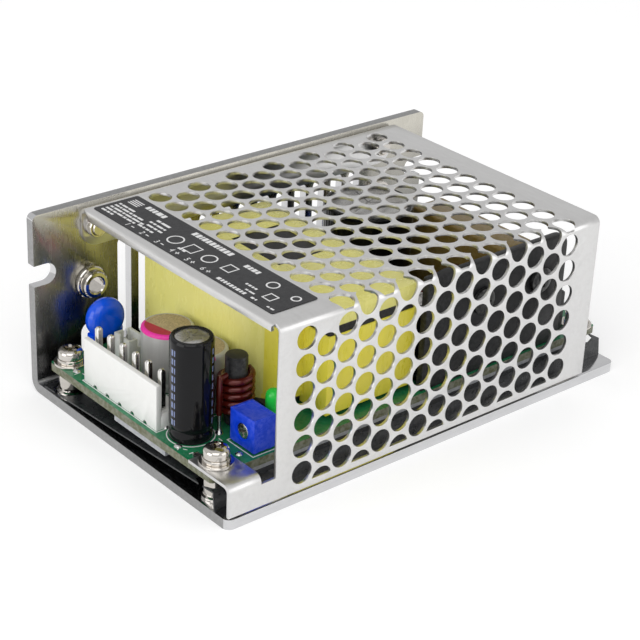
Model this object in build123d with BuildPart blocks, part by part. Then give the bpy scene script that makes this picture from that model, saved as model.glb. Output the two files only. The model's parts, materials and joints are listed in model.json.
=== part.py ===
from build123d import *
import math
import os

os.makedirs("parts", exist_ok=True)

# Driving dimensions in millimetres. X runs along the length with the output end at -X,
# the folded chassis wall stands at +Y, Z is up, and the origin is the bottom centre.

# Number of flats that stand for a circle on small, medium and large round shapes
hole_sides = 6
small_sides = 8
medium_sides = 10
large_sides = 16

# Chassis, one folded sheet
length = 98.5
width = 62.0
height = 37.0
sheet = 2.0
chassis_bend = 1.5
base_corner = 2.5
wall_corner = 2.0

# Cover, one folded and perforated sheet
cover_sheet = 1.0
cover_drop = 0.6
cover_front_setback = 10.4
cover_rear_setback = 9.8
cover_bend = 1.0
cover_base_gap = 0.5
flange_height = 8.4
flange_corner = 3.5
lip_height = 2.0
lip_relief = 2.6
hole_pitch = 5.31
hole_radius = 2.25
hole_columns = 15
first_column_x = -33.0
lowest_hole_z = 6.0
half_hole_edge = 1.2
plain_front_columns = 2
foot_setback = 0.2
foot_land = 3.55
foot_reach = 11.6
foot_notch = 2.2

# Wall openings and threaded inserts
slot_count = 13
slot_width = 3.15
slot_pitch = 4.9
slot_top = 28.0
slot_bottom = 5.5
slot_centre_x = 0.5
slot_end = 0.95
vent_width = 4.4
vent_top = 11.8
notch_width = 4.3
notch_depth = 4.8
notch_z = 24.6
insert_x = 36.9
insert_z = 20.4
insert_radius = 3.3
insert_shank_radius = 2.7
insert_reach = 3.0
insert_bore = 1.65
flange_screw_x = 36.1
flange_screw_drop = 4.2
screw_radius = 1.5

# Circuit board on four standoffs
board_length = 97.2
board_width = 50.8
board_thick = 1.6
hole_spacing_x = 91.2
hole_spacing_y = 45.7
board_hole_radius = 1.7
standoff_height = 4.5
standoff_radius = 2.75
standoff_shank_radius = 2.1
washer_radius = 3.4
washer_thick = 0.5
spring_radius = 2.7
spring_thick = 0.8
head_radius = 2.75
head_height = 2.0
screw_length = 6.0

# Insulating film and heat pads under the board
film_thick = 0.3
film_rise = 3.3
film_margin = 0.3
film_cover_gap = 3.6
film_wall_gap = 2.0
film_hole_radius = 3.6
pad_thick = 1.3
side_pad_width = 4.6

# Output header, pins on a 3.96 mm pitch
pin_pitch = 3.96
pin_size = 1.14
pin_tip_z = 19.4
header_wall = 1.0
header_length = 23.0
header_depth = 6.5
header_height = 9.0
header_base_height = 3.0
header_front_x = -47.4
header_y = 3.9
header_pin_inset = 2.3

# Trimmer with its turning rotor
trimmer_depth = 4.9
trimmer_width = 6.8
trimmer_height = 6.8
trimmer_front_x = -38.6
trimmer_y = -21.0
trimmer_rise = 3.4
rotor_radius = 1.5
rotor_depth = 1.8
rotor_sink = 0.15
rotor_clearance = 0.06
cross_width = 0.55
cross_length = 2.3
cross_depth = 0.6

# Transformer
core_front_x = -20.5
core_depth = 21.0
core_top_z = 30.0
core_back = 4.0
leg_width = 5.8
coil_front_x = -28.7
coil_rear_x = 5.0
coil_width = 31.6
coil_clearance = 0.8
coil_corner = 8.3
bobbin_flange = 1.2
tape_thick = 0.25

# Heat sink plate
sink_gap = 0.5
sink_rear_x = 38.0
sink_outer_y = -24.8
sink_thick = 1.6
sink_top_z = 31.4
sink_corner = 2.6

# Label foil
label_setback = 1.6
label_depth = 10.2
label_width = 53.6
label_y = 0.2
label_thick = 0.15

# Inserts and screws of the cover flange
insert_shank = 1.6
flange_insert_radius = 2.6
flange_insert_reach = 1.6
flange_hole_radius = 2.0

# Small dimensions of the board screws
spring_gap = 0.6
head_chamfer = 0.6

# Details of film and pads
film_leg_splay = 0.4
front_pad_y = -3.6
front_pad_depth = 8.0
front_pad_width = 15.8

# Header details and the input header
header_scallop = 0.7
pin_tip = 0.3
input_front_x = 47.4
input_y = 3.6

# Fan header
fan_x = -36.4
fan_y = 16.4
fan_depth = 3.8
fan_width = 5.0
fan_height = 6.0
fan_floor = 2.4
fan_wall = 0.5
fan_pitch = 2.0
fan_pin = 0.5

# Disc parts
disc_x = -37.2
disc_y = 23.1
disc_radius = 4.5
disc_thick = 4.0
disc_lift = 2.2
disc_leg = 0.8
disc_leg_spread = 0.72
varistor_x = 41.2
varistor_y = -9.0
varistor_radius = 4.3
thermistor_y = 15.6
safety_x = 11.0
safety_step = 13.0
safety_y = 23.2
safety_radius = 3.6
safety_thick = 3.0

# Capacitor cans
can_edge = 0.5
polymer_x = -35.0
polymer_y = 6.2
polymer_step = 10.3
polymer_radius = 5.0
polymer_height = 12.0
sleeve_thick = 0.15
sleeve_curl = 0.9
output_cap_x = -43.0
output_cap_y = -12.0
output_cap_radius = 4.0
output_cap_height = 20.0
bulk_x = 18.5
bulk_y = 11.6
bulk_radius = 9.0
bulk_height = 21.5
aux_x = 5.5
aux_y = -19.4
aux_radius = 3.1
aux_height = 16.0

# Rod choke
choke_x = -34.0
choke_y = -13.2
choke_core_radius = 2.1
choke_core_height = 14.0
choke_wire = 1.3
choke_pitch = 1.55
choke_turns = 6
choke_first_turn = 1.9
choke_bulge = 0.45

# Trimmer cross slot, turned as it was left
cross_turn = 20

# Status lamp
led_x = -30.8
led_y = -19.0
led_radius = 1.5
led_flange = 1.0
led_height = 8.7

# Transformer details
bobbin_rail = 1.0
bobbin_rail_width = 3.5
front_drop = 1.7
front_corner = 0.5
tape_skirt = 3.0
window_x = 4.6
window_depth = 11.4
window_y = 5.0
window_width = 14.5
wrap_top_z = 25.2

# Parts on the heat sink
sink_screw_radius = 1.5
sink_head_radius = 2.7
sink_head = 1.2
sink_nut = 2.0
transistor_x = 15.5
bridge_x = 31.0
bridge_width = 13.0
bridge_thick = 3.2
device_lift = 2.5
device_width = 10.2
device_height = 15.6
device_thick = 4.5
device_pitch = 2.54
device_lead = 0.8
tab_height = 6.2
tab_thick = 1.3

# Boost choke and line filter
boost_x = 18.5
boost_y = -14.1
boost_radius = 8.2
boost_bore = 2.4
boost_width = 8.2
boost_wire = 0.9
boost_gap = 4.0
filter_x = 16.5
filter_y = -3.7
filter_radius = 5.7
filter_bore = 1.4
filter_wire = 0.9
filter_base = 1.2
filter_height = 6.0
filter_gap = 3.0

# Boxes behind the reservoir capacitor
box_x = 32.4
box_y = -4.0
box_depth = 8.4
box_width = 26.0
box_height = 19.0
fuse_x = 39.9
fuse_y = -18.3
fuse_depth = 4.2
fuse_width = 8.4
fuse_height = 8.5
opto_x = 33.0
opto_y = 15.0
opto_length = 4.6
opto_width = 6.4
opto_height = 3.4
opto_lift = 0.8
opto_pitch = 2.54
opto_lead = 0.5

# Places that follow from the driving dimensions
front_x = -length / 2
rear_x = length / 2
right_y = -width / 2
left_y = width / 2
wall_inner_y = left_y - sheet
cover_top_z = height - cover_drop
cover_front_x = front_x + cover_front_setback
cover_rear_x = rear_x - cover_rear_setback
cover_bottom_z = sheet + cover_base_gap
foot_front_x = front_x + foot_setback
foot_length = foot_land - hole_spacing_x / 2 - foot_front_x
flange_screw_z = cover_top_z - flange_screw_drop
board_bottom_z = sheet + standoff_height
board_top_z = board_bottom_z + board_thick
hole_step_x = hole_pitch * math.sqrt(3) / 2
film_left_y = wall_inner_y - film_wall_gap
film_leg_y = width / 2 - cover_sheet - film_cover_gap
core_width = coil_width + 2 * (coil_clearance + leg_width)
sink_front_x = core_front_x + core_depth + sink_gap


def save(piece, name):
    """Label a finished piece and write its file."""
    piece.part.label = name
    export_step(piece.part, f"parts/{name}.step")


# Chassis: base and full-height wall folded from one sheet
with BuildPart() as chassis:
    with BuildSketch(Plane.YZ.offset(front_x)):
        with BuildLine():
            FilletPolyline(
                (right_y, sheet / 2),
                (left_y - sheet / 2, sheet / 2),
                (left_y - sheet / 2, height),
                radius=chassis_bend,
            )
        trace(line_width=sheet)
    extrude(amount=length)
    fillet(chassis.edges().filter_by(Axis.Z).group_by(Axis.Y)[0], radius=base_corner)
    fillet(chassis.edges().filter_by(Axis.Y).group_by(Axis.Z)[-1], radius=wall_corner)
    # row of tall vent slots with a short one below each threaded insert
    with BuildSketch(Plane.XZ.offset(-left_y)) as slots:
        with Locations((slot_centre_x, (slot_top + slot_bottom) / 2)):
            with GridLocations(slot_pitch, 0, slot_count, 1):
                Rectangle(slot_width, slot_top - slot_bottom)
        with Locations((0, (vent_top + slot_bottom - 1.0) / 2)):
            with GridLocations(2 * insert_x, 0, 2, 1):
                Rectangle(vent_width, vent_top - slot_bottom + 1.0)
        # mounting notches open to both end edges
        with Locations((0, notch_z)):
            with GridLocations(length, 0, 2, 1):
                Rectangle(2 * notch_depth, notch_width)
        chamfer(slots.vertices(), length=slot_end)
        with Locations((0, insert_z)):
            with GridLocations(2 * insert_x, 0, 2, 1):
                RegularPolygon(insert_shank_radius, small_sides)
    extrude(amount=sheet, mode=Mode.SUBTRACT)
    # countersunk holes for the flange screws
    with BuildSketch(Plane.XZ.offset(-left_y)):
        with Locations((0, flange_screw_z)):
            with GridLocations(2 * flange_screw_x, 0, 2, 1):
                RegularPolygon(2 * screw_radius, small_sides)
    extrude(amount=screw_radius, taper=45, mode=Mode.SUBTRACT)
    with BuildSketch(Plane.XZ.offset(-left_y)):
        with Locations((0, flange_screw_z)):
            with GridLocations(2 * flange_screw_x, 0, 2, 1):
                RegularPolygon(screw_radius, small_sides)
    extrude(amount=sheet, mode=Mode.SUBTRACT)
    # holes for the standoff shanks
    with BuildSketch(Plane.XY):
        with GridLocations(hole_spacing_x, hole_spacing_y, 2, 2):
            RegularPolygon(standoff_shank_radius, small_sides)
    extrude(amount=sheet, mode=Mode.SUBTRACT)
save(chassis, "chassis")


# Cover: top, right side and left flange folded from one perforated sheet
cover_length = cover_rear_x - cover_front_x
cover_mid_x = (cover_front_x + cover_rear_x) / 2
cover_half = cover_sheet / 2
flange_bottom_z = cover_top_z - flange_height
columns = [first_column_x + hole_step_x * index for index in range(hole_columns)]
full_columns = columns[0::2]
offset_columns = columns[1::2]
side_rows = 6
# places on the top measured round the fold, so that the pattern runs on over the edge
fold_shortening = (2 - math.pi / 2) * (cover_bend + cover_half)
row_past_fold = lowest_hole_z + side_rows * hole_pitch
full_first_y = right_y + row_past_fold - cover_top_z + fold_shortening
offset_first_y = full_first_y + hole_pitch / 2

with BuildPart() as cover:
    with BuildSketch(Plane.YZ.offset(cover_front_x)) as profile:
        with BuildLine():
            Polyline(
                (right_y + cover_half, cover_bottom_z),
                (right_y + cover_half, cover_top_z - cover_half),
                (wall_inner_y - cover_half, cover_top_z - cover_half),
                (wall_inner_y - cover_half, flange_bottom_z),
            )
        trace(line_width=cover_sheet)
        chamfer(profile.vertices().group_by(Axis.Y)[-1], length=cover_bend)
    extrude(amount=cover_length)
    flange_ends = cover.edges().filter_by(Axis.Y).filter_by_position(
        Axis.Z, flange_bottom_z - 0.1, flange_bottom_z + 0.1
    )
    fillet(flange_ends, radius=flange_corner)
    # lip folded down along the front edge of the top, relieved at both ends
    with BuildSketch(Plane.XY.offset(cover_top_z - cover_half)):
        with Locations((cover_front_x + cover_half, (right_y + wall_inner_y) / 2)):
            Rectangle(cover_sheet, wall_inner_y - right_y - 2 * lip_relief)
    extrude(amount=-(lip_height - cover_half))
    # foot: the side runs forward at the bottom and folds in over the board corner
    foot_top_z = board_top_z + cover_sheet
    with BuildSketch(Plane.YZ.offset(foot_front_x)):
        with BuildLine():
            Polyline(
                (right_y + cover_half, cover_bottom_z),
                (right_y + cover_half, foot_top_z - cover_half),
                (right_y + foot_reach, foot_top_z - cover_half),
            )
        trace(line_width=cover_sheet)
    extrude(amount=foot_length)
    # strip that joins the foot to the side below the fold relief
    with BuildSketch(Plane.XZ.offset(-right_y)):
        with Locations((foot_front_x + foot_length / 2, cover_bottom_z)):
            Rectangle(
                cover_front_setback + 2,
                foot_top_z - cover_bottom_z - foot_notch,
                align=(Align.MIN, Align.MIN),
            )
    extrude(amount=-cover_sheet)
    # clamping hole in the foot and screw holes in the flange
    with BuildSketch(Plane.XY.offset(board_top_z)):
        with Locations((-hole_spacing_x / 2, -hole_spacing_y / 2)):
            RegularPolygon(board_hole_radius, small_sides)
    extrude(amount=cover_sheet, mode=Mode.SUBTRACT)
    with BuildSketch(Plane.XZ.offset(-wall_inner_y)):
        with Locations((0, flange_screw_z)):
            with GridLocations(2 * flange_screw_x, 0, 2, 1):
                RegularPolygon(flange_hole_radius, small_sides)
    extrude(amount=cover_sheet, mode=Mode.SUBTRACT)
    # perforation of the side
    with BuildSketch(Plane.XZ.offset(-right_y)):
        for x in full_columns:
            for row in range(side_rows):
                with Locations((x, lowest_hole_z + row * hole_pitch)):
                    RegularPolygon(hole_radius, hole_sides, rotation=180 / hole_sides)
        for x in offset_columns:
            for row in range(side_rows - 1):
                with Locations((x, lowest_hole_z + (row + 0.5) * hole_pitch)):
                    RegularPolygon(hole_radius, hole_sides, rotation=180 / hole_sides)
    extrude(amount=-cover_sheet, mode=Mode.SUBTRACT)
    # half holes, cut off straight above the bottom edge of the sheet
    with BuildSketch(Plane.XZ.offset(-right_y)):
        for x in offset_columns:
            with Locations((x, lowest_hole_z - hole_pitch / 2)):
                RegularPolygon(hole_radius, hole_sides, rotation=180 / hole_sides)
        with Locations((0, cover_bottom_z + half_hole_edge)):
            Rectangle(length, 2 * hole_pitch, align=(Align.CENTER, Align.MAX), mode=Mode.SUBTRACT)
    extrude(amount=-cover_sheet, mode=Mode.SUBTRACT)
    # perforation of the top, behind the plain front zone
    with BuildSketch(Plane.XY.offset(cover_top_z)):
        for x in full_columns[plain_front_columns // 2:]:
            for row in range(11):
                with Locations((x, full_first_y + row * hole_pitch)):
                    RegularPolygon(hole_radius, hole_sides, rotation=180 / hole_sides)
        for x in offset_columns[plain_front_columns // 2:]:
            for row in range(10):
                with Locations((x, offset_first_y + row * hole_pitch)):
                    RegularPolygon(hole_radius, hole_sides, rotation=180 / hole_sides)
    extrude(amount=-cover_sheet, mode=Mode.SUBTRACT)
    # holes that straddle the fold between side and top
    fold_plane = Plane(
        origin=(0, right_y + cover_bend, cover_top_z - cover_bend),
        x_dir=(1, 0, 0),
        z_dir=(0, -1, 1),
    )
    with BuildSketch(fold_plane):
        for x in offset_columns[plain_front_columns // 2:]:
            with Locations((x, -0.3)):
                RegularPolygon(hole_radius, hole_sides, rotation=180 / hole_sides)
    extrude(amount=2.0, both=True, mode=Mode.SUBTRACT)
save(cover, "cover")


# Label: thin foil on the plain front zone of the cover
with BuildPart() as label:
    with BuildSketch(Plane.XY.offset(cover_top_z)):
        with Locations((cover_front_x + label_setback, label_y)):
            Rectangle(label_depth, label_width, align=(Align.MIN, Align.CENTER))
    extrude(amount=label_thick)
save(label, "label")


# Threaded inserts pressed into the wall
with BuildPart() as wall_inserts:
    with BuildSketch(Plane.XZ.offset(-wall_inner_y)):
        with Locations((0, insert_z)):
            with GridLocations(2 * insert_x, 0, 2, 1):
                RegularPolygon(insert_radius, medium_sides)
    extrude(amount=insert_reach)
    with BuildSketch(Plane.XZ.offset(-wall_inner_y)):
        with Locations((0, insert_z)):
            with GridLocations(2 * insert_x, 0, 2, 1):
                RegularPolygon(insert_shank_radius, small_sides)
    extrude(amount=-insert_shank)
    with BuildSketch(Plane.XZ.offset(-left_y)):
        with Locations((0, insert_z)):
            with GridLocations(2 * insert_x, 0, 2, 1):
                Circle(insert_bore)
    extrude(amount=sheet + insert_reach, mode=Mode.SUBTRACT)
save(wall_inserts, "wall_inserts")


# Smaller inserts pressed into the cover flange, and the screws that hold it
flange_inner_y = wall_inner_y - cover_sheet
with BuildPart() as flange_inserts:
    with BuildSketch(Plane.XZ.offset(-flange_inner_y)):
        with Locations((0, flange_screw_z)):
            with GridLocations(2 * flange_screw_x, 0, 2, 1):
                RegularPolygon(flange_insert_radius, small_sides)
    extrude(amount=flange_insert_reach)
    with BuildSketch(Plane.XZ.offset(-flange_inner_y)):
        with Locations((0, flange_screw_z)):
            with GridLocations(2 * flange_screw_x, 0, 2, 1):
                RegularPolygon(flange_hole_radius, small_sides)
    extrude(amount=-cover_sheet)
    with BuildSketch(Plane.XZ.offset(-left_y)):
        with Locations((0, flange_screw_z)):
            with GridLocations(2 * flange_screw_x, 0, 2, 1):
                RegularPolygon(screw_radius, small_sides)
    extrude(amount=sheet + cover_sheet + flange_insert_reach, mode=Mode.SUBTRACT)
save(flange_inserts, "flange_inserts")

with BuildPart() as flange_screws:
    with BuildSketch(Plane.XZ.offset(-left_y)):
        with Locations((0, flange_screw_z)):
            with GridLocations(2 * flange_screw_x, 0, 2, 1):
                RegularPolygon(2 * screw_radius, small_sides)
    extrude(amount=screw_radius, taper=45)
    with BuildSketch(Plane.XZ.offset(-left_y)):
        with Locations((0, flange_screw_z)):
            with GridLocations(2 * flange_screw_x, 0, 2, 1):
                RegularPolygon(screw_radius, small_sides)
    extrude(amount=sheet + cover_sheet + flange_insert_reach)
save(flange_screws, "flange_screws")


# Standoffs swaged into the base
with BuildPart() as standoffs:
    with BuildSketch(Plane.XY):
        with GridLocations(hole_spacing_x, hole_spacing_y, 2, 2):
            RegularPolygon(standoff_shank_radius, small_sides)
    extrude(amount=sheet)
    with BuildSketch(Plane.XY.offset(sheet)):
        with GridLocations(hole_spacing_x, hole_spacing_y, 2, 2):
            RegularPolygon(standoff_radius, small_sides)
    extrude(amount=standoff_height)
    with BuildSketch(Plane.XY):
        with GridLocations(hole_spacing_x, hole_spacing_y, 2, 2):
            RegularPolygon(screw_radius, small_sides)
    extrude(amount=sheet + standoff_height, mode=Mode.SUBTRACT)
save(standoffs, "standoffs")


# Circuit board
with BuildPart() as circuit_board:
    with BuildSketch(Plane.XY.offset(board_bottom_z)):
        Rectangle(board_length, board_width)
        with GridLocations(hole_spacing_x, hole_spacing_y, 2, 2):
            RegularPolygon(board_hole_radius, small_sides, mode=Mode.SUBTRACT)
    extrude(amount=board_thick)
save(circuit_board, "circuit_board")


# Board screws with their washers; the front right stack also clamps the foot of the cover
corner_x = hole_spacing_x / 2
corner_y = hole_spacing_y / 2
stacks = [
    (-corner_x, -corner_y, board_top_z + cover_sheet),
    (-corner_x, corner_y, board_top_z),
    (corner_x, -corner_y, board_top_z),
    (corner_x, corner_y, board_top_z),
]

with BuildPart() as flat_washers:
    for x, y, z in stacks:
        with BuildSketch(Plane.XY.offset(z)):
            with Locations((x, y)):
                RegularPolygon(washer_radius, medium_sides)
                RegularPolygon(board_hole_radius, small_sides, mode=Mode.SUBTRACT)
        extrude(amount=washer_thick)
save(flat_washers, "flat_washers")

with BuildPart() as spring_washers:
    for x, y, z in stacks:
        with BuildSketch(Plane.XY.offset(z + washer_thick)):
            with Locations((x, y)):
                RegularPolygon(spring_radius, small_sides)
                RegularPolygon(board_hole_radius, small_sides, mode=Mode.SUBTRACT)
            with Locations((x, y - spring_radius)):
                Rectangle(spring_gap, 2 * spring_radius, mode=Mode.SUBTRACT)
        extrude(amount=spring_thick)
save(spring_washers, "spring_washers")

with BuildPart() as board_screws:
    for x, y, z in stacks:
        head_z = z + washer_thick + spring_thick
        with BuildSketch(Plane.XY.offset(head_z)):
            with Locations((x, y)):
                RegularPolygon(head_radius, medium_sides)
        extrude(amount=head_height - head_chamfer)
        with BuildSketch(Plane.XY.offset(head_z + head_height - head_chamfer)):
            with Locations((x, y)):
                RegularPolygon(head_radius, medium_sides)
        extrude(amount=head_chamfer, taper=45)
        with BuildSketch(Plane.XY.offset(head_z)):
            with Locations((x, y)):
                RegularPolygon(screw_radius, small_sides)
        extrude(amount=-screw_length)
save(board_screws, "board_screws")


# Insulating film under the board, folded down to the base on the right
film_slope = film_rise / (film_left_y + film_leg_y)
film_low_z = sheet + film_thick / 2


def film_top_at(y):
    """Height of the upper face of the sloping film."""
    return film_low_z + film_slope * (film_left_y - y) + film_thick / 2


with BuildPart() as insulating_film:
    with BuildSketch(Plane.YZ.offset(-length / 2 + film_margin)):
        with BuildLine():
            Polyline(
                (film_left_y, film_low_z),
                (-film_leg_y, film_low_z + film_rise),
                (-film_leg_y - film_leg_splay, sheet),
            )
        trace(line_width=film_thick)
        with Locations((0, sheet)):
            Rectangle(2 * width, 2 * sheet, align=(Align.CENTER, Align.MAX), mode=Mode.SUBTRACT)
    extrude(amount=length - 2 * film_margin)
    with BuildSketch(Plane.XY.offset(sheet)):
        with GridLocations(hole_spacing_x, hole_spacing_y, 2, 2):
            RegularPolygon(film_hole_radius, small_sides)
    extrude(amount=standoff_height + board_thick, mode=Mode.SUBTRACT)
save(insulating_film, "insulating_film")


# Heat pads against the underside of the board
with BuildPart() as front_heat_pad:
    with BuildSketch(Plane.XY.offset(board_bottom_z)):
        with Locations((-board_length / 2 + film_margin, front_pad_y)):
            Rectangle(front_pad_depth, front_pad_width, align=(Align.MIN, Align.CENTER))
    extrude(amount=-pad_thick)
save(front_heat_pad, "front_heat_pad")

side_pad_y = -board_width / 2 + film_margin
with BuildPart() as side_heat_pad:
    with BuildSketch(Plane.XY.offset(board_bottom_z)):
        with Locations((0, side_pad_y)):
            Rectangle(
                hole_spacing_x - 2 * film_hole_radius - 2,
                side_pad_width,
                align=(Align.CENTER, Align.MIN),
            )
    extrude(amount=-(board_bottom_z - film_top_at(side_pad_y)))
save(side_heat_pad, "side_heat_pad")


def wire_header(front_x_at, y_at, pins, facing):
    """Housing of a wall-sided wire header, its wall facing -X (-1) or +X (+1)."""
    long_y = (pins - 1) * pin_pitch + header_length - 5 * pin_pitch
    with BuildPart() as housing:
        with BuildSketch(Plane.YZ.offset(front_x_at)):
            with Locations((y_at, board_top_z)):
                Rectangle(long_y, header_height, align=(Align.CENTER, Align.MIN))
            # scalloped lower edge between the pins
            with Locations((y_at, board_top_z)):
                with GridLocations(pin_pitch, 0, pins - 1, 1):
                    Rectangle(header_scallop, header_scallop, mode=Mode.SUBTRACT)
        extrude(amount=-facing * header_wall)
        with BuildSketch(Plane.XY.offset(board_top_z)):
            with Locations((front_x_at - facing * (header_wall + header_depth) / 2, y_at)):
                Rectangle(header_depth - header_wall, long_y)
        extrude(amount=header_base_height)
        with BuildSketch(Plane.XY.offset(board_top_z)):
            with Locations((front_x_at - facing * header_pin_inset, y_at)):
                with GridLocations(0, pin_pitch, 1, pins):
                    Rectangle(pin_size, pin_size)
        extrude(amount=header_base_height, mode=Mode.SUBTRACT)
    return housing


def header_pins(front_x_at, y_at, pins, facing, skipped=()):
    """Square tinned pins of a wire header, standing on the board."""
    with BuildPart() as row:
        for index in range(pins):
            if index in skipped:
                continue
            y = y_at + (index - (pins - 1) / 2) * pin_pitch
            with BuildSketch(Plane.XY.offset(board_top_z)):
                with Locations((front_x_at - facing * header_pin_inset, y)):
                    Rectangle(pin_size, pin_size)
            extrude(amount=pin_tip_z - board_top_z)
        chamfer(row.edges().group_by(Axis.Z)[-1], length=pin_tip)
    return row


# Output header with six pins
output_header = wire_header(header_front_x, header_y, 6, -1)
save(output_header, "output_header")
output_pins = header_pins(header_front_x, header_y, 6, -1)
save(output_pins, "output_pins")

# Mains input header at the rear: three places, the middle pin left out
input_header = wire_header(input_front_x, input_y, 3, 1)
save(input_header, "input_header")
input_pins = header_pins(input_front_x, input_y, 3, 1, skipped=(1,))
save(input_pins, "input_pins")


# Small two-pin fan header, an open shroud
with BuildPart() as fan_header:
    with BuildSketch(Plane.XY.offset(board_top_z)):
        with Locations((fan_x, fan_y)):
            Rectangle(fan_depth, fan_width)
    extrude(amount=fan_height)
    with BuildSketch(Plane.XY.offset(board_top_z + fan_floor)):
        with Locations((fan_x, fan_y)):
            Rectangle(fan_depth - 2 * fan_wall, fan_width - 2 * fan_wall)
    extrude(amount=fan_height, mode=Mode.SUBTRACT)
    with BuildSketch(Plane.XY.offset(board_top_z)):
        with Locations((fan_x, fan_y)):
            with GridLocations(0, fan_pitch, 1, 2):
                Rectangle(fan_pin, fan_pin)
    extrude(amount=fan_floor, mode=Mode.SUBTRACT)
save(fan_header, "fan_header")

with BuildPart() as fan_pins:
    with BuildSketch(Plane.XY.offset(board_top_z)):
        with Locations((fan_x, fan_y)):
            with GridLocations(0, fan_pitch, 1, 2):
                Rectangle(fan_pin, fan_pin)
    extrude(amount=fan_height - 0.4)
save(fan_pins, "fan_pins")


def disc_part(x, y, radius, thick, along_y=True):
    """Coated disc on two short legs that stand on the board."""
    z = board_top_z + disc_lift + radius
    face = Plane.XZ.offset(-y - thick / 2) if along_y else Plane.YZ.offset(x - thick / 2)
    across = (x, z) if along_y else (y, z)
    with BuildPart() as disc:
        with BuildSketch(face):
            with Locations(across):
                RegularPolygon(radius, medium_sides)
        extrude(amount=thick)
        chamfer(disc.faces().sort_by(Axis.Y if along_y else Axis.X)[0].edges(), length=thick * 0.28)
        chamfer(disc.faces().sort_by(Axis.Y if along_y else Axis.X)[-1].edges(), length=thick * 0.28)
        with BuildSketch(Plane.XY.offset(board_top_z)):
            with Locations((x, y)):
                if along_y:
                    with GridLocations(2 * disc_leg_spread * radius, 0, 2, 1):
                        Rectangle(disc_leg, disc_leg)
                else:
                    with GridLocations(0, 2 * disc_leg_spread * radius, 1, 2):
                        Rectangle(disc_leg, disc_leg)
        extrude(amount=disc_lift + radius)
    return disc


# Disc parts: the output disc capacitor, the surge arrester, the inrush disc and two safety discs
disc_capacitor = disc_part(disc_x, disc_y, disc_radius, disc_thick)
save(disc_capacitor, "disc_capacitor")
varistor = disc_part(varistor_x, varistor_y, varistor_radius, disc_thick, along_y=False)
save(varistor, "varistor")
thermistor = disc_part(varistor_x, thermistor_y, varistor_radius, disc_thick, along_y=False)
save(thermistor, "thermistor")
front_safety = disc_part(safety_x, safety_y, safety_radius, safety_thick)
rear_safety = disc_part(safety_x + safety_step, safety_y, safety_radius, safety_thick)
with BuildPart() as safety_capacitors:
    add(front_safety.part)
    add(rear_safety.part)
save(safety_capacitors, "safety_capacitors")


# Two polymer capacitors in bare cans
with BuildPart() as polymer_capacitors:
    for x, y in ((polymer_x, polymer_y), (polymer_x, polymer_y - polymer_step)):
        with BuildSketch(Plane.XY.offset(board_top_z)):
            with Locations((x, y)):
                RegularPolygon(polymer_radius, large_sides)
        extrude(amount=polymer_height)
    chamfer(polymer_capacitors.edges().group_by(Axis.Z)[-1], length=can_edge)
save(polymer_capacitors, "polymer_capacitors")


def electrolytic_can(x, y, radius, high):
    """Bare aluminium can of an electrolytic capacitor."""
    with BuildPart() as can:
        with BuildSketch(Plane.XY.offset(board_top_z)):
            with Locations((x, y)):
                RegularPolygon(radius - sleeve_thick, large_sides)
        extrude(amount=high - sleeve_thick)
    return can


def electrolytic_sleeve(x, y, radius, high):
    """Shrunk sleeve round a can, rolled over the top rim."""
    with BuildPart() as sleeve:
        with BuildSketch(Plane.XY.offset(board_top_z)):
            with Locations((x, y)):
                RegularPolygon(radius, large_sides)
                RegularPolygon(radius - sleeve_thick, large_sides, mode=Mode.SUBTRACT)
        extrude(amount=high - sleeve_thick)
        with BuildSketch(Plane.XY.offset(board_top_z + high - sleeve_thick)):
            with Locations((x, y)):
                RegularPolygon(radius, large_sides)
                RegularPolygon(radius - sleeve_curl, large_sides, mode=Mode.SUBTRACT)
        extrude(amount=sleeve_thick)
    return sleeve


# Electrolytic capacitors: output, mains reservoir, and the small auxiliary one
output_can = electrolytic_can(output_cap_x, output_cap_y, output_cap_radius, output_cap_height)
save(output_can, "output_capacitor_can")
output_sleeve = electrolytic_sleeve(
    output_cap_x, output_cap_y, output_cap_radius, output_cap_height
)
save(output_sleeve, "output_capacitor_sleeve")
bulk_can = electrolytic_can(bulk_x, bulk_y, bulk_radius, bulk_height)
save(bulk_can, "bulk_capacitor_can")
bulk_sleeve = electrolytic_sleeve(bulk_x, bulk_y, bulk_radius, bulk_height)
save(bulk_sleeve, "bulk_capacitor_sleeve")
aux_capacitor = electrolytic_can(aux_x, aux_y, aux_radius + sleeve_thick, aux_height)
save(aux_capacitor, "auxiliary_capacitor")


# Rod choke: ferrite rod with six turns of thick wire
with BuildPart() as choke_core:
    with BuildSketch(Plane.XY.offset(board_top_z)):
        with Locations((choke_x, choke_y)):
            RegularPolygon(choke_core_radius, medium_sides)
    extrude(amount=choke_core_height)
save(choke_core, "choke_core")

with BuildPart() as choke_winding:
    # each turn swells out to its middle and back
    for turn in range(choke_turns):
        z = board_top_z + choke_first_turn + turn * choke_pitch
        for rise in (-choke_pitch / 2, choke_pitch / 2):
            with BuildSketch(Plane.XY.offset(z)):
                with Locations((choke_x, choke_y)):
                    RegularPolygon(choke_core_radius + choke_wire + choke_bulge, medium_sides)
            extrude(amount=rise, taper=30)
    with BuildSketch(Plane.XY.offset(board_top_z)):
        with Locations((choke_x, choke_y)):
            RegularPolygon(choke_core_radius, medium_sides)
    extrude(amount=choke_core_height, mode=Mode.SUBTRACT)
    # both wire ends run down to the board
    with BuildSketch(Plane.XY.offset(board_top_z)):
        with Locations((choke_x, choke_y)):
            with GridLocations(2 * choke_core_radius + choke_wire, 0, 2, 1):
                Rectangle(choke_wire * 0.8, choke_wire * 0.8)
    extrude(amount=choke_first_turn - choke_pitch / 4)
save(choke_winding, "choke_winding")


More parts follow.
